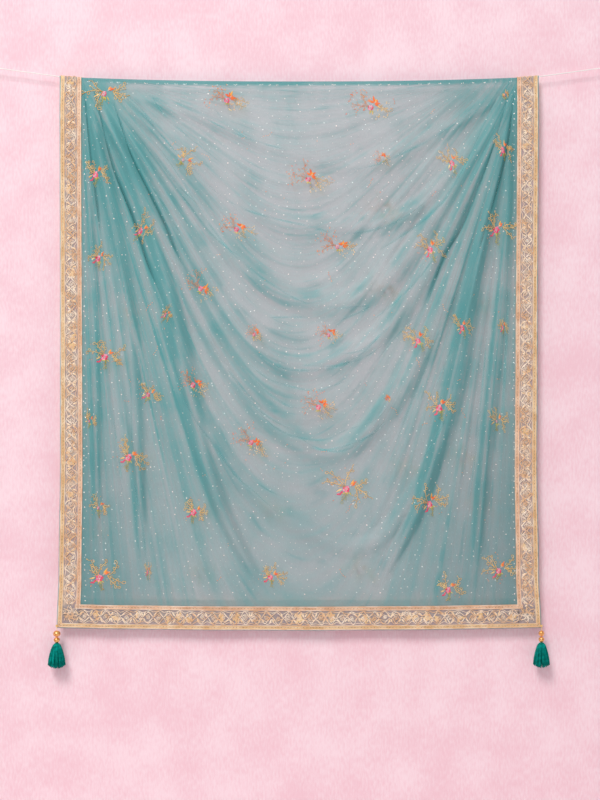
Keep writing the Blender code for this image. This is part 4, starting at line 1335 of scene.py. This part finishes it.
def sew_lace():
    """The lace round the whole cloth: net, looped cords, braids, dark dots of painted shade between the braid
    stitches, and pale beads.
    """
    uneven = random.Random(5)
    net, cord_look, bead_look = lace_net(), gold_cord(), sequin_pale()
    outer_gold = braid_gold("outer_braid", colour(220, 180, 124), colour(238, 206, 154))
    inner_gold = braid_gold("inner_braid", colour(216, 166, 136), colour(238, 196, 164))
    stitch_look = braid_gold("braid_stitch", colour(242, 206, 160), colour(255, 236, 208))
    # Painted shade: dark brown for the dots where shade falls between the braid stitches.
    gap_shade_look = braid_gold("braid_gap_shade", colour(120, 72, 50), colour(150, 92, 68))
    made = []
    for strip in lace_strips():
        hem = strip.crest is None
        lift = CORD_LIFT + (0.0002 if hem else -0.0001)
        ground, outer, inner = Pile(), Pile(), Pile()
        braid_cords, stitches, cords, beads, gap_shade = Pile(), Pile(), Pile(), Pile(), Pile()
        ends = (strip.field_start, strip.field_end) if hem else (strip.start, strip.end)
        strip_ground(ground, *ends, 0.0, strip.wide, NET_LIFT, strip.crest)
        inner_across = strip.wide - BRAID_WIDE
        strip_ground(outer, strip.start, strip.end, 0.0, BRAID_WIDE, lift - 0.0003, strip.crest)
        strip_ground(inner, strip.inner_start, strip.inner_end, inner_across, BRAID_WIDE, lift - 0.0003,
                     strip.crest)
        lace_braid(braid_cords, stitches, gap_shade, strip.start, strip.end, 0.0, strip.crest, lift, uneven)
        lace_braid(braid_cords, stitches, gap_shade, strip.inner_start, strip.inner_end, inner_across, strip.crest,
                   lift, uneven)
        lace_cords(cords, stitches, outer, beads, strip.field_start, strip.field_end, strip.wide, strip.crest,
                   FILLED_HEM if hem else FILLED_SIDE, uneven)
        if not hem:
            corner, corner_beads = Pile(), Pile()
            lace_corner(corner, corner_beads, SIDE_LACE, HEM_LACE, uneven)
            for flat, onto in ((corner, cords), (corner_beads, beads)):
                if not flat.points:
                    continue
                points = np.concatenate(flat.points)
                onto.add(points, flat.faces)
                onto.add(points + (0.0, strip.end - HEM_LACE, 0.0), flat.faces)
        pieces = [
            pile.piece(part + strip.name, look, "gold_lace", strip.place, strip.flip)
            for part, pile, look in (
                ("lace_net_", ground, net), ("lace_outer_braid_", outer, outer_gold),
                ("lace_inner_braid_", inner, inner_gold), ("lace_edge_cords_", braid_cords, cord_look),
                ("lace_stitches_", stitches, stitch_look), ("lace_gap_shade_", gap_shade, gap_shade_look),
                ("lace_cords_", cords, cord_look), ("lace_beads_", beads, bead_look),
            )
        ]
        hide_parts(*strip.nodes)
        made += pieces
    return made


# Tassels: half width of the skirt at distances below its top, and the layers of its threads
SKIRT_DOWN = (0.0, 0.002, 0.005, 0.009, 0.016, 0.026, 0.039, 0.0525)
SKIRT_HALF = (0.0020, 0.0048, 0.0076, 0.0092, 0.0112, 0.0136, 0.0160, 0.0172)
Layer = namedtuple("Layer", "count inset")
THREAD_LAYERS = (Layer(150, 1.0), Layer(120, 0.88), Layer(80, 0.68), Layer(40, 0.40))
LOCKS = 13
THREAD_HALF = 0.00050


def turned(profile, centre, sides=28):
    """A form turned about Z from half widths and heights, top first: its points and faces."""
    angles = 2 * math.pi * np.arange(sides) / sides
    points = [(centre[0] + wide * math.cos(a), centre[1] + wide * math.sin(a), centre[2] + height)
              for wide, height in profile for a in angles]
    faces = [face[::-1] for face in grid_faces(sides, len(profile), closed=True)]
    last = sides * (len(profile) - 1)
    faces += [tuple(range(sides)), tuple(range(last, last + sides))[::-1]]
    return points, faces


def bead(name, node, look):
    """A polished bead with a small hole down its middle, as large as its solid."""
    low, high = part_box(node)
    centre, half = (low + high) / 2, (high - low) / 2
    steps = 14
    hole = math.asin(0.16)
    profile = []
    for step in range(steps + 1):
        angle = mix(hole, math.pi - hole, step / steps)
        profile.append((half.x * math.sin(angle), half.z * math.cos(angle)))
    pile = Pile()
    pile.add(*turned(profile, centre))
    made = pile.piece(name, look, "gold_bead")
    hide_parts(node)
    return made


def tassel(side, look, seed):
    """A silk tassel: layers of fine threads that fall in soft locks from under the bead."""
    uneven = random.Random(seed)
    low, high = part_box("tassel_" + side)
    x, y = (low.x + high.x) / 2, (low.y + high.y) / 2
    widen = (high.x - low.x) / 2 / SKIRT_HALF[-1] * 0.96
    drop = np.array(SKIRT_DOWN)
    pile = Pile()
    for layer in THREAD_LAYERS:
        for thread in range(layer.count):
            angle = 2 * math.pi * (thread + uneven.uniform(-0.4, 0.4)) / layer.count
            lock = round(angle / (2 * math.pi) * LOCKS) / LOCKS * 2 * math.pi
            away = (angle - lock) * LOCKS / math.pi
            gathered = angle + (lock - angle) * 0.38 * smooth(drop / 0.04)
            half = np.array(SKIRT_HALF) * layer.inset
            waist = 1.0 - 0.07 * away * away * smooth(drop / 0.012)
            half = half * mix(1.0, widen, smooth(drop / 0.02)) * waist
            half = half + uneven.uniform(-0.0004, 0.0004) * smooth(drop / 0.02)
            rounded = 1.0 - 0.13 * layer.inset ** 3 + uneven.uniform(-0.025, 0.010)
            ends = high.z - drop * rounded
            path = np.column_stack((x + half * np.cos(gathered), y + half * np.sin(gathered), ends))
            out = np.column_stack((np.cos(gathered), np.sin(gathered), np.full(len(drop), 0.2)))
            pile.add(*rod(path, THREAD_HALF * uneven.uniform(0.8, 1.15), out, sides=3))
    core = [(half * 0.62, -down) for half, down in zip(SKIRT_HALF, SKIRT_DOWN)][:-1]
    pile.add(*turned(core, (x, y, high.z), 16))
    made = pile.piece("silk_tassel_" + side, look, "tassel_silk")
    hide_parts("tassel_" + side)
    return made


def corner_knot(side, look):
    """A gold thread wound in a small knot at the corner, and the short thread down to the beads."""
    low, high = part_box("corner_knot_" + side)
    centre, half = (low + high) / 2, (high - low) / 2
    pile = Pile()
    angles = 2 * math.pi * np.arange(18) / 18
    for turn in (0.25, 0.9, 1.55, 2.3, 2.9):
        swing = np.column_stack((np.cos(angles) * math.cos(turn), np.sin(angles),
                                 np.cos(angles) * math.sin(turn)))
        loop = np.array(centre) + swing * np.array(half) * 0.82
        pile.add(*hoop(loop, 0.00050, (0.3, 0.2, 0.5), sides=5))
    pile.add(*turned([(half.x * 0.7 * math.sin(a), half.z * 0.7 * math.cos(a)) for a in np.linspace(0.2, 2.94,
                                                                                                    7)],
                     centre, 12))
    knot_piece = pile.piece("corner_knot_thread_" + side, look, "gold_thread")
    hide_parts("corner_knot_" + side)
    low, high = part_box("tassel_thread_" + side)
    x, y = (low.x + high.x) / 2, (low.y + high.y) / 2
    thread = Pile()
    z = np.linspace(high.z, low.z, 22)
    for ply in range(2):
        angle = 2 * math.pi * (np.arange(22) / 7 + ply / 2)
        path = np.column_stack((x + 0.00032 * np.cos(angle), y + 0.00032 * np.sin(angle), z))
        thread.add(*rod(path, 0.00036, (0.0, 1.0, 0.0), sides=5))
    thread_piece = thread.piece("hanging_thread_" + side, look, "gold_thread")
    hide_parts("tassel_thread_" + side)
    return [knot_piece, thread_piece]


def hang_corners():
    """The knot, thread, beads and tassel at each front corner."""
    gold = silk_thread("gold_floss", colour(236, 180, 98), colour(255, 226, 156))
    bead_look = bead_gold()
    silk = silk_thread("tassel_silk", colour(0, 116, 106), colour(0, 164, 152), 0.8, 0.0, 0.1)
    made = []
    for number, side in enumerate(("left", "right")):
        made += corner_knot(side, gold)
        made.append(bead("gold_bead_upper_" + side, "upper_bead_" + side, bead_look))
        made.append(bead("gold_bead_lower_" + side, "lower_bead_" + side, bead_look))
        made.append(tassel(side, silk, number + 3))
    return made


# Sewn flowers: place, size, how far the folds squeeze them, their lean in degrees, and what they hold
Posy = namedtuple("Posy", "x down size squeeze lean rose spray")
FRONT_POSIES = (
    Posy(-0.400, 0.020, 1.25, 1.00, 0, 0.6, 1.2), Posy(-0.420, 0.190, 1.05, 0.80, 10, 1.0, 0.9),
    Posy(-0.325, 0.310, 1.15, 0.55, -22, 1.0, 1.0), Posy(-0.235, 0.165, 1.00, 0.85, -40, 0.4, 0.9),
    Posy(-0.145, 0.035, 1.00, 1.00, 0, 0.9, 1.0), Posy(0.155, 0.050, 1.10, 1.00, 5, 0.8, 1.0),
    Posy(0.025, 0.200, 1.00, 1.00, 0, 0.8, 1.0), Posy(-0.125, 0.305, 0.95, 1.00, -5, 0.9, 0.9),
    Posy(0.175, 0.160, 0.70, 0.70, 20, 0.0, 0.8), Posy(0.430, 0.025, 0.70, 0.40, 10, 0.7, 0.5),
    Posy(0.425, 0.140, 1.10, 0.50, 15, 1.0, 1.0), Posy(0.320, 0.165, 1.15, 0.60, 28, 0.9, 1.1),
    Posy(0.415, 0.305, 1.15, 0.80, 8, 1.0, 1.1), Posy(-0.415, 0.365, 1.00, 0.70, 0, 1.0, 0.9),
    Posy(-0.275, 0.485, 0.85, 0.50, -25, 0.8, 0.8), Posy(-0.200, 0.430, 1.00, 0.85, -15, 0.9, 1.0),
    Posy(-0.400, 0.570, 1.10, 0.90, 0, 1.0, 1.0), Posy(-0.310, 0.650, 0.90, 0.80, -10, 0.8, 0.9),
    Posy(-0.215, 0.630, 0.95, 0.85, -8, 1.0, 0.9), Posy(-0.435, 0.705, 0.80, 0.60, 0, 0.5, 0.8),
    Posy(-0.350, 0.780, 1.15, 0.85, -5, 1.0, 1.0), Posy(0.085, 0.340, 1.00, 1.00, 8, 0.6, 1.0),
    Posy(-0.090, 0.525, 0.80, 0.70, -10, 0.8, 0.7), Posy(0.065, 0.525, 0.85, 0.80, 5, 0.7, 0.8),
    Posy(0.045, 0.675, 1.00, 0.85, 0, 0.9, 0.9), Posy(0.185, 0.660, 0.60, 0.50, 30, 0.6, 0.3),
    Posy(-0.095, 0.750, 1.00, 0.90, -10, 0.8, 1.0), Posy(0.275, 0.345, 1.15, 0.70, 25, 1.0, 1.0),
    Posy(0.250, 0.535, 1.05, 0.75, 25, 0.9, 1.0), Posy(0.340, 0.510, 0.95, 0.60, 20, 1.0, 0.9),
    Posy(0.425, 0.510, 0.80, 0.45, 8, 0.8, 0.7), Posy(0.295, 0.675, 1.10, 0.80, 20, 1.0, 1.0),
    Posy(0.415, 0.705, 0.90, 0.70, 5, 0.4, 0.9), Posy(-0.415, 0.885, 0.90, 0.70, 0, 0.5, 0.9),
    Posy(-0.410, 1.030, 1.15, 1.00, 0, 1.0, 1.0), Posy(-0.315, 1.020, 0.80, 0.30, 0, 0.9, 0.8),
    Posy(-0.215, 0.895, 1.05, 0.80, -5, 1.0, 0.9), Posy(0.105, 0.845, 1.20, 1.00, 0, 0.9, 1.1),
    Posy(-0.055, 1.030, 0.95, 0.90, 0, 0.9, 0.9), Posy(0.275, 0.875, 1.15, 0.80, 25, 0.9, 1.0),
    Posy(0.315, 1.055, 1.00, 0.90, 10, 0.9, 0.9), Posy(0.420, 1.015, 1.05, 0.90, 15, 0.8, 1.0),
)
# On the fall behind: those that show between the front ones, and more in line with front ones
BACK_POSIES = (
    Posy(-0.345, 0.485, 1.0, 1.0, 0, 0.7, 1.0), Posy(0.185, 0.435, 1.0, 1.0, 0, 0.5, 1.0),
    Posy(0.180, 0.265, 1.0, 1.0, 0, 0.5, 1.0), Posy(0.375, 0.465, 1.0, 0.8, 0, 0.8, 0.9),
    Posy(-0.425, 0.935, 1.0, 0.8, 0, 0.7, 0.9), Posy(-0.055, 0.895, 1.0, 1.0, 0, 0.8, 1.0),
    Posy(0.130, 1.020, 1.0, 1.0, 0, 0.7, 1.0), Posy(-0.205, 1.025, 1.0, 0.9, 0, 0.8, 1.0),
    Posy(0.380, 0.880, 1.0, 0.9, 0, 0.7, 0.9), Posy(0.345, 0.785, 1.0, 0.9, 0, 0.8, 0.9),
    Posy(0.230, 0.810, 1.0, 1.0, 0, 0.6, 1.0),
)
BACK_EVERY = 2
BRANCH_HALF = 0.00072
FINE_HALF = 0.00046
STRAY_COUNT = 70
FLOWER_EDGE = 0.4545
BACK_SHIFT = (0.006, 0.010)


class Basket:
    """The shapes of the sewn flowers on one fall, by what they are sewn in."""

    def __init__(self):
        self.rose, self.deep_rose, self.orange, self.amber = Pile(), Pile(), Pile(), Pile()
        self.leaf, self.gold, self.rust, self.pearl = Pile(), Pile(), Pile(), Pile()


def branch(pile, start, angle, long, bend, half, loops, uneven):
    """A stem of couched thread; along it stand small outlined leaves, curled twigs and single stitches."""
    steps = np.linspace(0.0, 1.0, 6)
    turn = angle + bend * steps
    x = start[0] + np.concatenate(((0.0,), np.cumsum(np.cos(turn[:-1])))) * long / 5
    z = start[1] + np.concatenate(((0.0,), np.cumsum(np.sin(turn[:-1])))) * long / 5
    path = np.column_stack((x, z, np.full(6, 0.0006)))
    pile.add(*rod(path, half * mix(1.1, 0.8, steps), UP_FROM_CLOTH, sides=3, flat=0.6))
    for number in range(1, 6):
        side = 1 if number % 2 else -1
        way = turn[number] + side * uneven.uniform(0.5, 1.2)
        if uneven.random() < loops:
            leaf_outline(pile, (x[number], z[number]), way, uneven.uniform(0.0045, 0.0075),
                         uneven.uniform(0.0030, 0.0044), half)
            continue
        reach = long * uneven.uniform(0.12, 0.28)
        tip = (x[number] + reach * math.cos(way), z[number] + reach * math.sin(way))
        bow = reach * uneven.uniform(0.1, 0.35)
        curl = way + side * 1.57
        middle = ((x[number] + tip[0]) / 2 + bow * math.cos(curl),
                  (z[number] + tip[1]) / 2 + bow * math.sin(curl))
        twig = np.array(((x[number], z[number], 0.0006), (*middle, 0.0007), (*tip, 0.0005)))
        pile.add(*rod(twig, half * 0.8, UP_FROM_CLOTH, sides=3, flat=0.6))
        if uneven.random() < 0.6:
            pile.add(*dot(tip, uneven.uniform(1.1, 1.8) * half, 0.0010))


def leaf_outline(pile, root, turn, long, wide, half):
    """A leaf drawn as a loop of couched thread."""
    angles = 2 * math.pi * np.arange(8) / 8
    along = long * (0.5 - 0.5 * np.cos(angles))
    beside = wide / 2 * np.sin(angles)
    cos, sin = math.cos(turn), math.sin(turn)
    path = np.column_stack((root[0] + along * cos - beside * sin, root[1] + along * sin + beside * cos,
                            np.full(8, 0.0007)))
    pile.add(*hoop(path, half * 0.85, UP_FROM_CLOTH, sides=3, flat=0.6))


def sew_rose(flower, heart, size, uneven):
    """A round rose: a ring of broad petals, a darker ring inside, and pearls in its middle."""
    for number in range(7):
        turn = 2 * math.pi * number / 7 + uneven.uniform(-0.15, 0.15)
        root = (heart[0] + 0.0010 * math.cos(turn), heart[1] + 0.0010 * math.sin(turn))
        pile = flower.rose if number % 3 else flower.deep_rose
        pile.add(*petal(root, turn, 0.0072 * size * uneven.uniform(0.85, 1.15), 0.0066 * size, 0.0012))
    for number in range(5):
        turn = 2 * math.pi * number / 5 + 0.6
        points, faces = petal(heart, turn, 0.0044 * size, 0.0040 * size, 0.0009)
        flower.deep_rose.add(points + (0.0, 0.0, 0.0008), faces)
    for number in range(4):
        turn = 1.6 * number + uneven.uniform(-0.3, 0.3)
        points, faces = knot((heart[0] + 0.0018 * math.cos(turn), heart[1] + 0.0018 * math.sin(turn)), 0.0011,
                             0.0013)
        flower.pearl.add(np.array(points) + (0.0, 0.0, 0.0014), faces)


def sew_warm_sprays(flower, posy, uneven):
    """A loose fan of single rust and orange stitches, with a few thin stems."""
    for number in range(70):
        left = number < 42
        low, high, far = (1.6, 3.7, 0.046) if left else (-1.7, 0.3, 0.036)
        reach, way = uneven.uniform(0.010, far) * posy.spray, uneven.uniform(low, high)
        place = (-0.0030 + 1.10 * reach * math.cos(way), 0.85 * reach * math.sin(way))
        pile = flower.orange if number % 4 == 0 and left else flower.rust if left else flower.gold
        pile.add(*petal(place, way + uneven.uniform(-0.9, 0.9), uneven.uniform(0.0020, 0.0042), 0.0017,
                        0.0007))
    for pile, start, angle in ((flower.rust, -0.0090, 2.2), (flower.rust, -0.0090, 3.0),
                               (flower.gold, 0.0090, -0.3),
                               (flower.gold, 0.0060, -1.0)):
        branch(pile, (start, 0.0), angle + uneven.uniform(-0.3, 0.3),
               0.030 * posy.spray * uneven.uniform(0.6, 1.2),
               uneven.uniform(-1.0, 1.0), FINE_HALF, 0.45, uneven)


def sew_gold_sprays(flower, posy, uneven):
    """Stems of couched gold round the flower, with outlined leaves, and one solid golden stroke."""
    high = posy.down > 0.06
    for angle in (1.5, 2.1, 2.7) if high else (2.5, 3.1, 3.8):
        branch(flower.gold, (-0.0080, 0.0), angle + uneven.uniform(-0.2, 0.2),
               0.031 * posy.spray * uneven.uniform(0.65, 1.15), uneven.uniform(-1.3, 1.3), BRANCH_HALF, 0.60,
               uneven)
    for angle in (0.3, -0.4, -1.1):
        branch(flower.gold, (0.0090, 0.0), angle + uneven.uniform(-0.2, 0.2),
               0.027 * posy.spray * uneven.uniform(0.65, 1.15), uneven.uniform(-1.2, 1.2), BRANCH_HALF, 0.65,
               uneven)
    branch(flower.leaf, (-0.0030, -0.0090), -2.0 + uneven.uniform(-0.4, 0.4), 0.016 * posy.spray,
           uneven.uniform(-0.8, 0.8), FINE_HALF, 0.6, uneven)
    flower.gold.add(*petal((-0.0130, -0.0030), 3.4 + uneven.uniform(-0.3, 0.3), 0.0120, 0.0030, 0.0009))
    for number in range(12 if high else 4):
        reach, way = uneven.uniform(0.014, 0.040) * posy.spray, uneven.uniform(1.2, 5.6)
        place = (-0.0030 + reach * math.cos(way), 0.8 * reach * math.sin(way))
        pile = flower.rust if number % 3 else flower.orange
        pile.add(*petal(place, uneven.uniform(0, 3.1), 0.0026, 0.0014, 0.0007))


def sew_strays(basket, uneven):
    """Short chains of single stitches between the flowers."""
    for _ in range(STRAY_COUNT):
        x, z = uneven.uniform(-0.42, 0.42), -uneven.uniform(0.04, 1.04)
        way = uneven.uniform(0, 2 * math.pi)
        for _ in range(uneven.choice((1, 1, 2, 3, 5))):
            pile = basket.rust if uneven.random() < 0.7 else basket.orange
            pile.add(*petal((x, z), way, uneven.uniform(0.0018, 0.0036), 0.0016, 0.0008))
            way += uneven.uniform(-0.5, 0.5)
            x, z = x + 0.0048 * math.cos(way), z + 0.0048 * math.sin(way)


def sew_posy(basket, posy, uneven):
    """One sewn flower: a rose with pearls, a pointed flower, leaves below and fine sprays."""
    flower = Basket()
    warm = abs(posy.x) < 0.22 and posy.down < 0.80
    if posy.rose > 0.0:
        sew_rose(flower, (-0.0060, -0.0035), posy.rose * (0.86 if warm else 0.92), uneven)
    if posy.rose > 0.75 and not warm:
        for number, turn in enumerate((3.6, 4.0, 3.3)):
            root = (-0.0110 - 0.0030 * number, -0.0075 - 0.0022 * number)
            flower.deep_rose.add(*petal(root, turn, 0.0060, 0.0034, 0.0011))
    apart, aside = (uneven.uniform(0.0095, 0.0145), uneven.uniform(0.1, 1.1)) if warm else (0.0092, 0.65)
    star = (-0.0060 + apart * math.cos(aside), -0.0035 + apart * math.sin(aside))
    for number, turn in enumerate((-0.75, -0.15, 0.50, 1.10, 1.75, 2.60) if warm else (0.30, 0.65, 1.00)):
        long = (0.0120 if warm else 0.0125) * uneven.uniform(0.6, 1.25)
        pile = flower.amber if number == (3 if warm else 2) else flower.orange
        pile.add(*petal(star, turn + uneven.uniform(-0.12, 0.12), long, 0.0048 if warm else 0.0038, 0.0012))
    for number in range(3):
        points, faces = knot((star[0] + 0.0014 * number, star[1] + 0.0010 * number), 0.0009, 0.0012)
        flower.pearl.add(np.array(points) + (0.0, 0.0, 0.0008), faces)
    for turn in (3.7, 4.2, 4.8) if warm else (3.5, 4.1, 4.7, 5.4):
        root = (-0.0030 + 0.0025 * math.cos(turn), -0.0080)
        flower.leaf.add(*petal(root, turn + uneven.uniform(-0.2, 0.2), 0.0080 * uneven.uniform(0.6, 1.2),
                               0.0024, 0.0008))
    if warm:
        sew_warm_sprays(flower, posy, uneven)
    else:
        sew_gold_sprays(flower, posy, uneven)
    lean = math.radians(posy.lean)
    cos, sin = math.cos(lean), math.sin(lean)
    for name, pile in vars(flower).items():
        if not pile.count:
            continue
        points = np.concatenate(pile.points) * (posy.size, posy.size, 1.0)
        across = points[:, 0] * posy.squeeze
        x = posy.x + across * cos - points[:, 1] * sin
        z = -posy.down + across * sin + points[:, 1] * cos
        x = np.clip(x, -FLOWER_EDGE, FLOWER_EDGE)
        z = np.minimum(z, line_height(x) - 0.004)
        vars(basket)[name].add(np.column_stack((x, z, points[:, 2] + 0.0003)), pile.faces)


def embroider():
    """The sewn flowers of both falls, one piece for each thread and fall."""
    looks = {
        "rose": silk_thread("rose_floss", colour(244, 112, 146), colour(255, 176, 196)),
        "deep_rose": silk_thread("deep_rose_floss", colour(222, 44, 92), colour(250, 92, 124)),
        "orange": silk_thread("orange_floss", colour(236, 88, 36), colour(255, 136, 58)),
        "amber": silk_thread("amber_floss", colour(240, 150, 50), colour(255, 190, 90)),
        "leaf": silk_thread("olive_floss", colour(170, 160, 56), colour(222, 202, 92)),
        "gold": silk_thread("couched_gold", colour(236, 180, 98), colour(255, 220, 150)),
        "rust": silk_thread("rust_floss", colour(228, 122, 62), colour(252, 170, 98)),
        "pearl": sequin_pale(),
    }
    echoes = [
        posy._replace(x=posy.x + BACK_SHIFT[0], down=posy.down + BACK_SHIFT[1])
        for posy in FRONT_POSIES[::BACK_EVERY] if posy.down < 1.0
    ]
    made = []
    for fall, posies, place, flip in (
        ("front", FRONT_POSIES, on_front, False),
        ("back", BACK_POSIES + tuple(echoes), on_back, True),
    ):
        uneven = random.Random(41 if fall == "front" else 42)
        basket = Basket()
        for posy in posies:
            sew_posy(basket, posy, uneven)
        sew_strays(basket, uneven)
        for name, pile in vars(basket).items():
            made.append(pile.piece("flowers_" + name + "_" + fall, looks[name], "gold_thread", place, flip))
    return made


# Sequins: how far apart they are sewn, and their half widths
SEQUIN_ACROSS = 0.0172
SEQUIN_DOWN = 0.0134
SEQUIN_HALF = (0.0004, 0.0014)
SEQUIN_MISSING = 0.16
TOP_CLUSTER = ((0.0, 0.0), (0.0030, 0.0005), (-0.0026, 0.0008))
TOP_ROW_RISE = 0.0024


def sew_sequins():
    """Small pale sequins: a slanting scatter over both falls, and rows by the line and the lace."""
    look = sequin_pale()
    made = []
    for fall, place, flip in (("front", on_front, False), ("back", on_back, True)):
        uneven = random.Random(7 if fall == "front" else 8)
        pile = Pile()
        edge = LACE_INNER_X - 0.003
        rows = int((HEM_CORNER - LACE_WIDE - 0.03) / SEQUIN_DOWN)
        for row in range(rows):
            for column in range(int(2 * edge / SEQUIN_ACROSS) + 1):
                if uneven.random() < SEQUIN_MISSING:
                    continue
                x = -edge + (column + 0.5 * (row % 2)) * SEQUIN_ACROSS + uneven.uniform(-0.006, 0.006)
                z = -0.022 - row * SEQUIN_DOWN + uneven.uniform(-0.005, 0.005)
                if abs(x) < edge:
                    half = mix(*SEQUIN_HALF, uneven.random() ** 2)
                    pile.add(*dot((x, z), half, 0.0008))
        for side in (-1, 1):
            z = -0.020
            while z > -(HEM_CORNER - LACE_WIDE - 0.01):
                pile.add(*dot((side * (edge - uneven.uniform(0.001, 0.006)), z), 0.0013, 0.0008))
                z -= uneven.uniform(0.009, 0.024)
        x = -edge + 0.010
        while x < edge:
            height = float(line_height(x)) - BAND_DOWN + TOP_ROW_RISE
            for dx, dz in TOP_CLUSTER[:uneven.choice((1, 2, 3))]:
                spot = (x + dx + uneven.uniform(-0.0005, 0.0005),
                        height + dz + uneven.uniform(-0.0005, 0.0005))
                pile.add(*dot(spot, uneven.uniform(0.0009, 0.0013), 0.0008))
            x += uneven.uniform(0.0150, 0.0290)
        made.append(pile.piece("sequins_" + fall, look, "gold_thread", place, flip))
    return made


stand_camera()
cotton_line = string_line()
hang_lamps()
build_stage()
cloth = lay_cloth()
trimmings = [tuck_cloth(), crease_cloth()] + sew_lace() + hang_corners() + embroider() + sew_sequins()
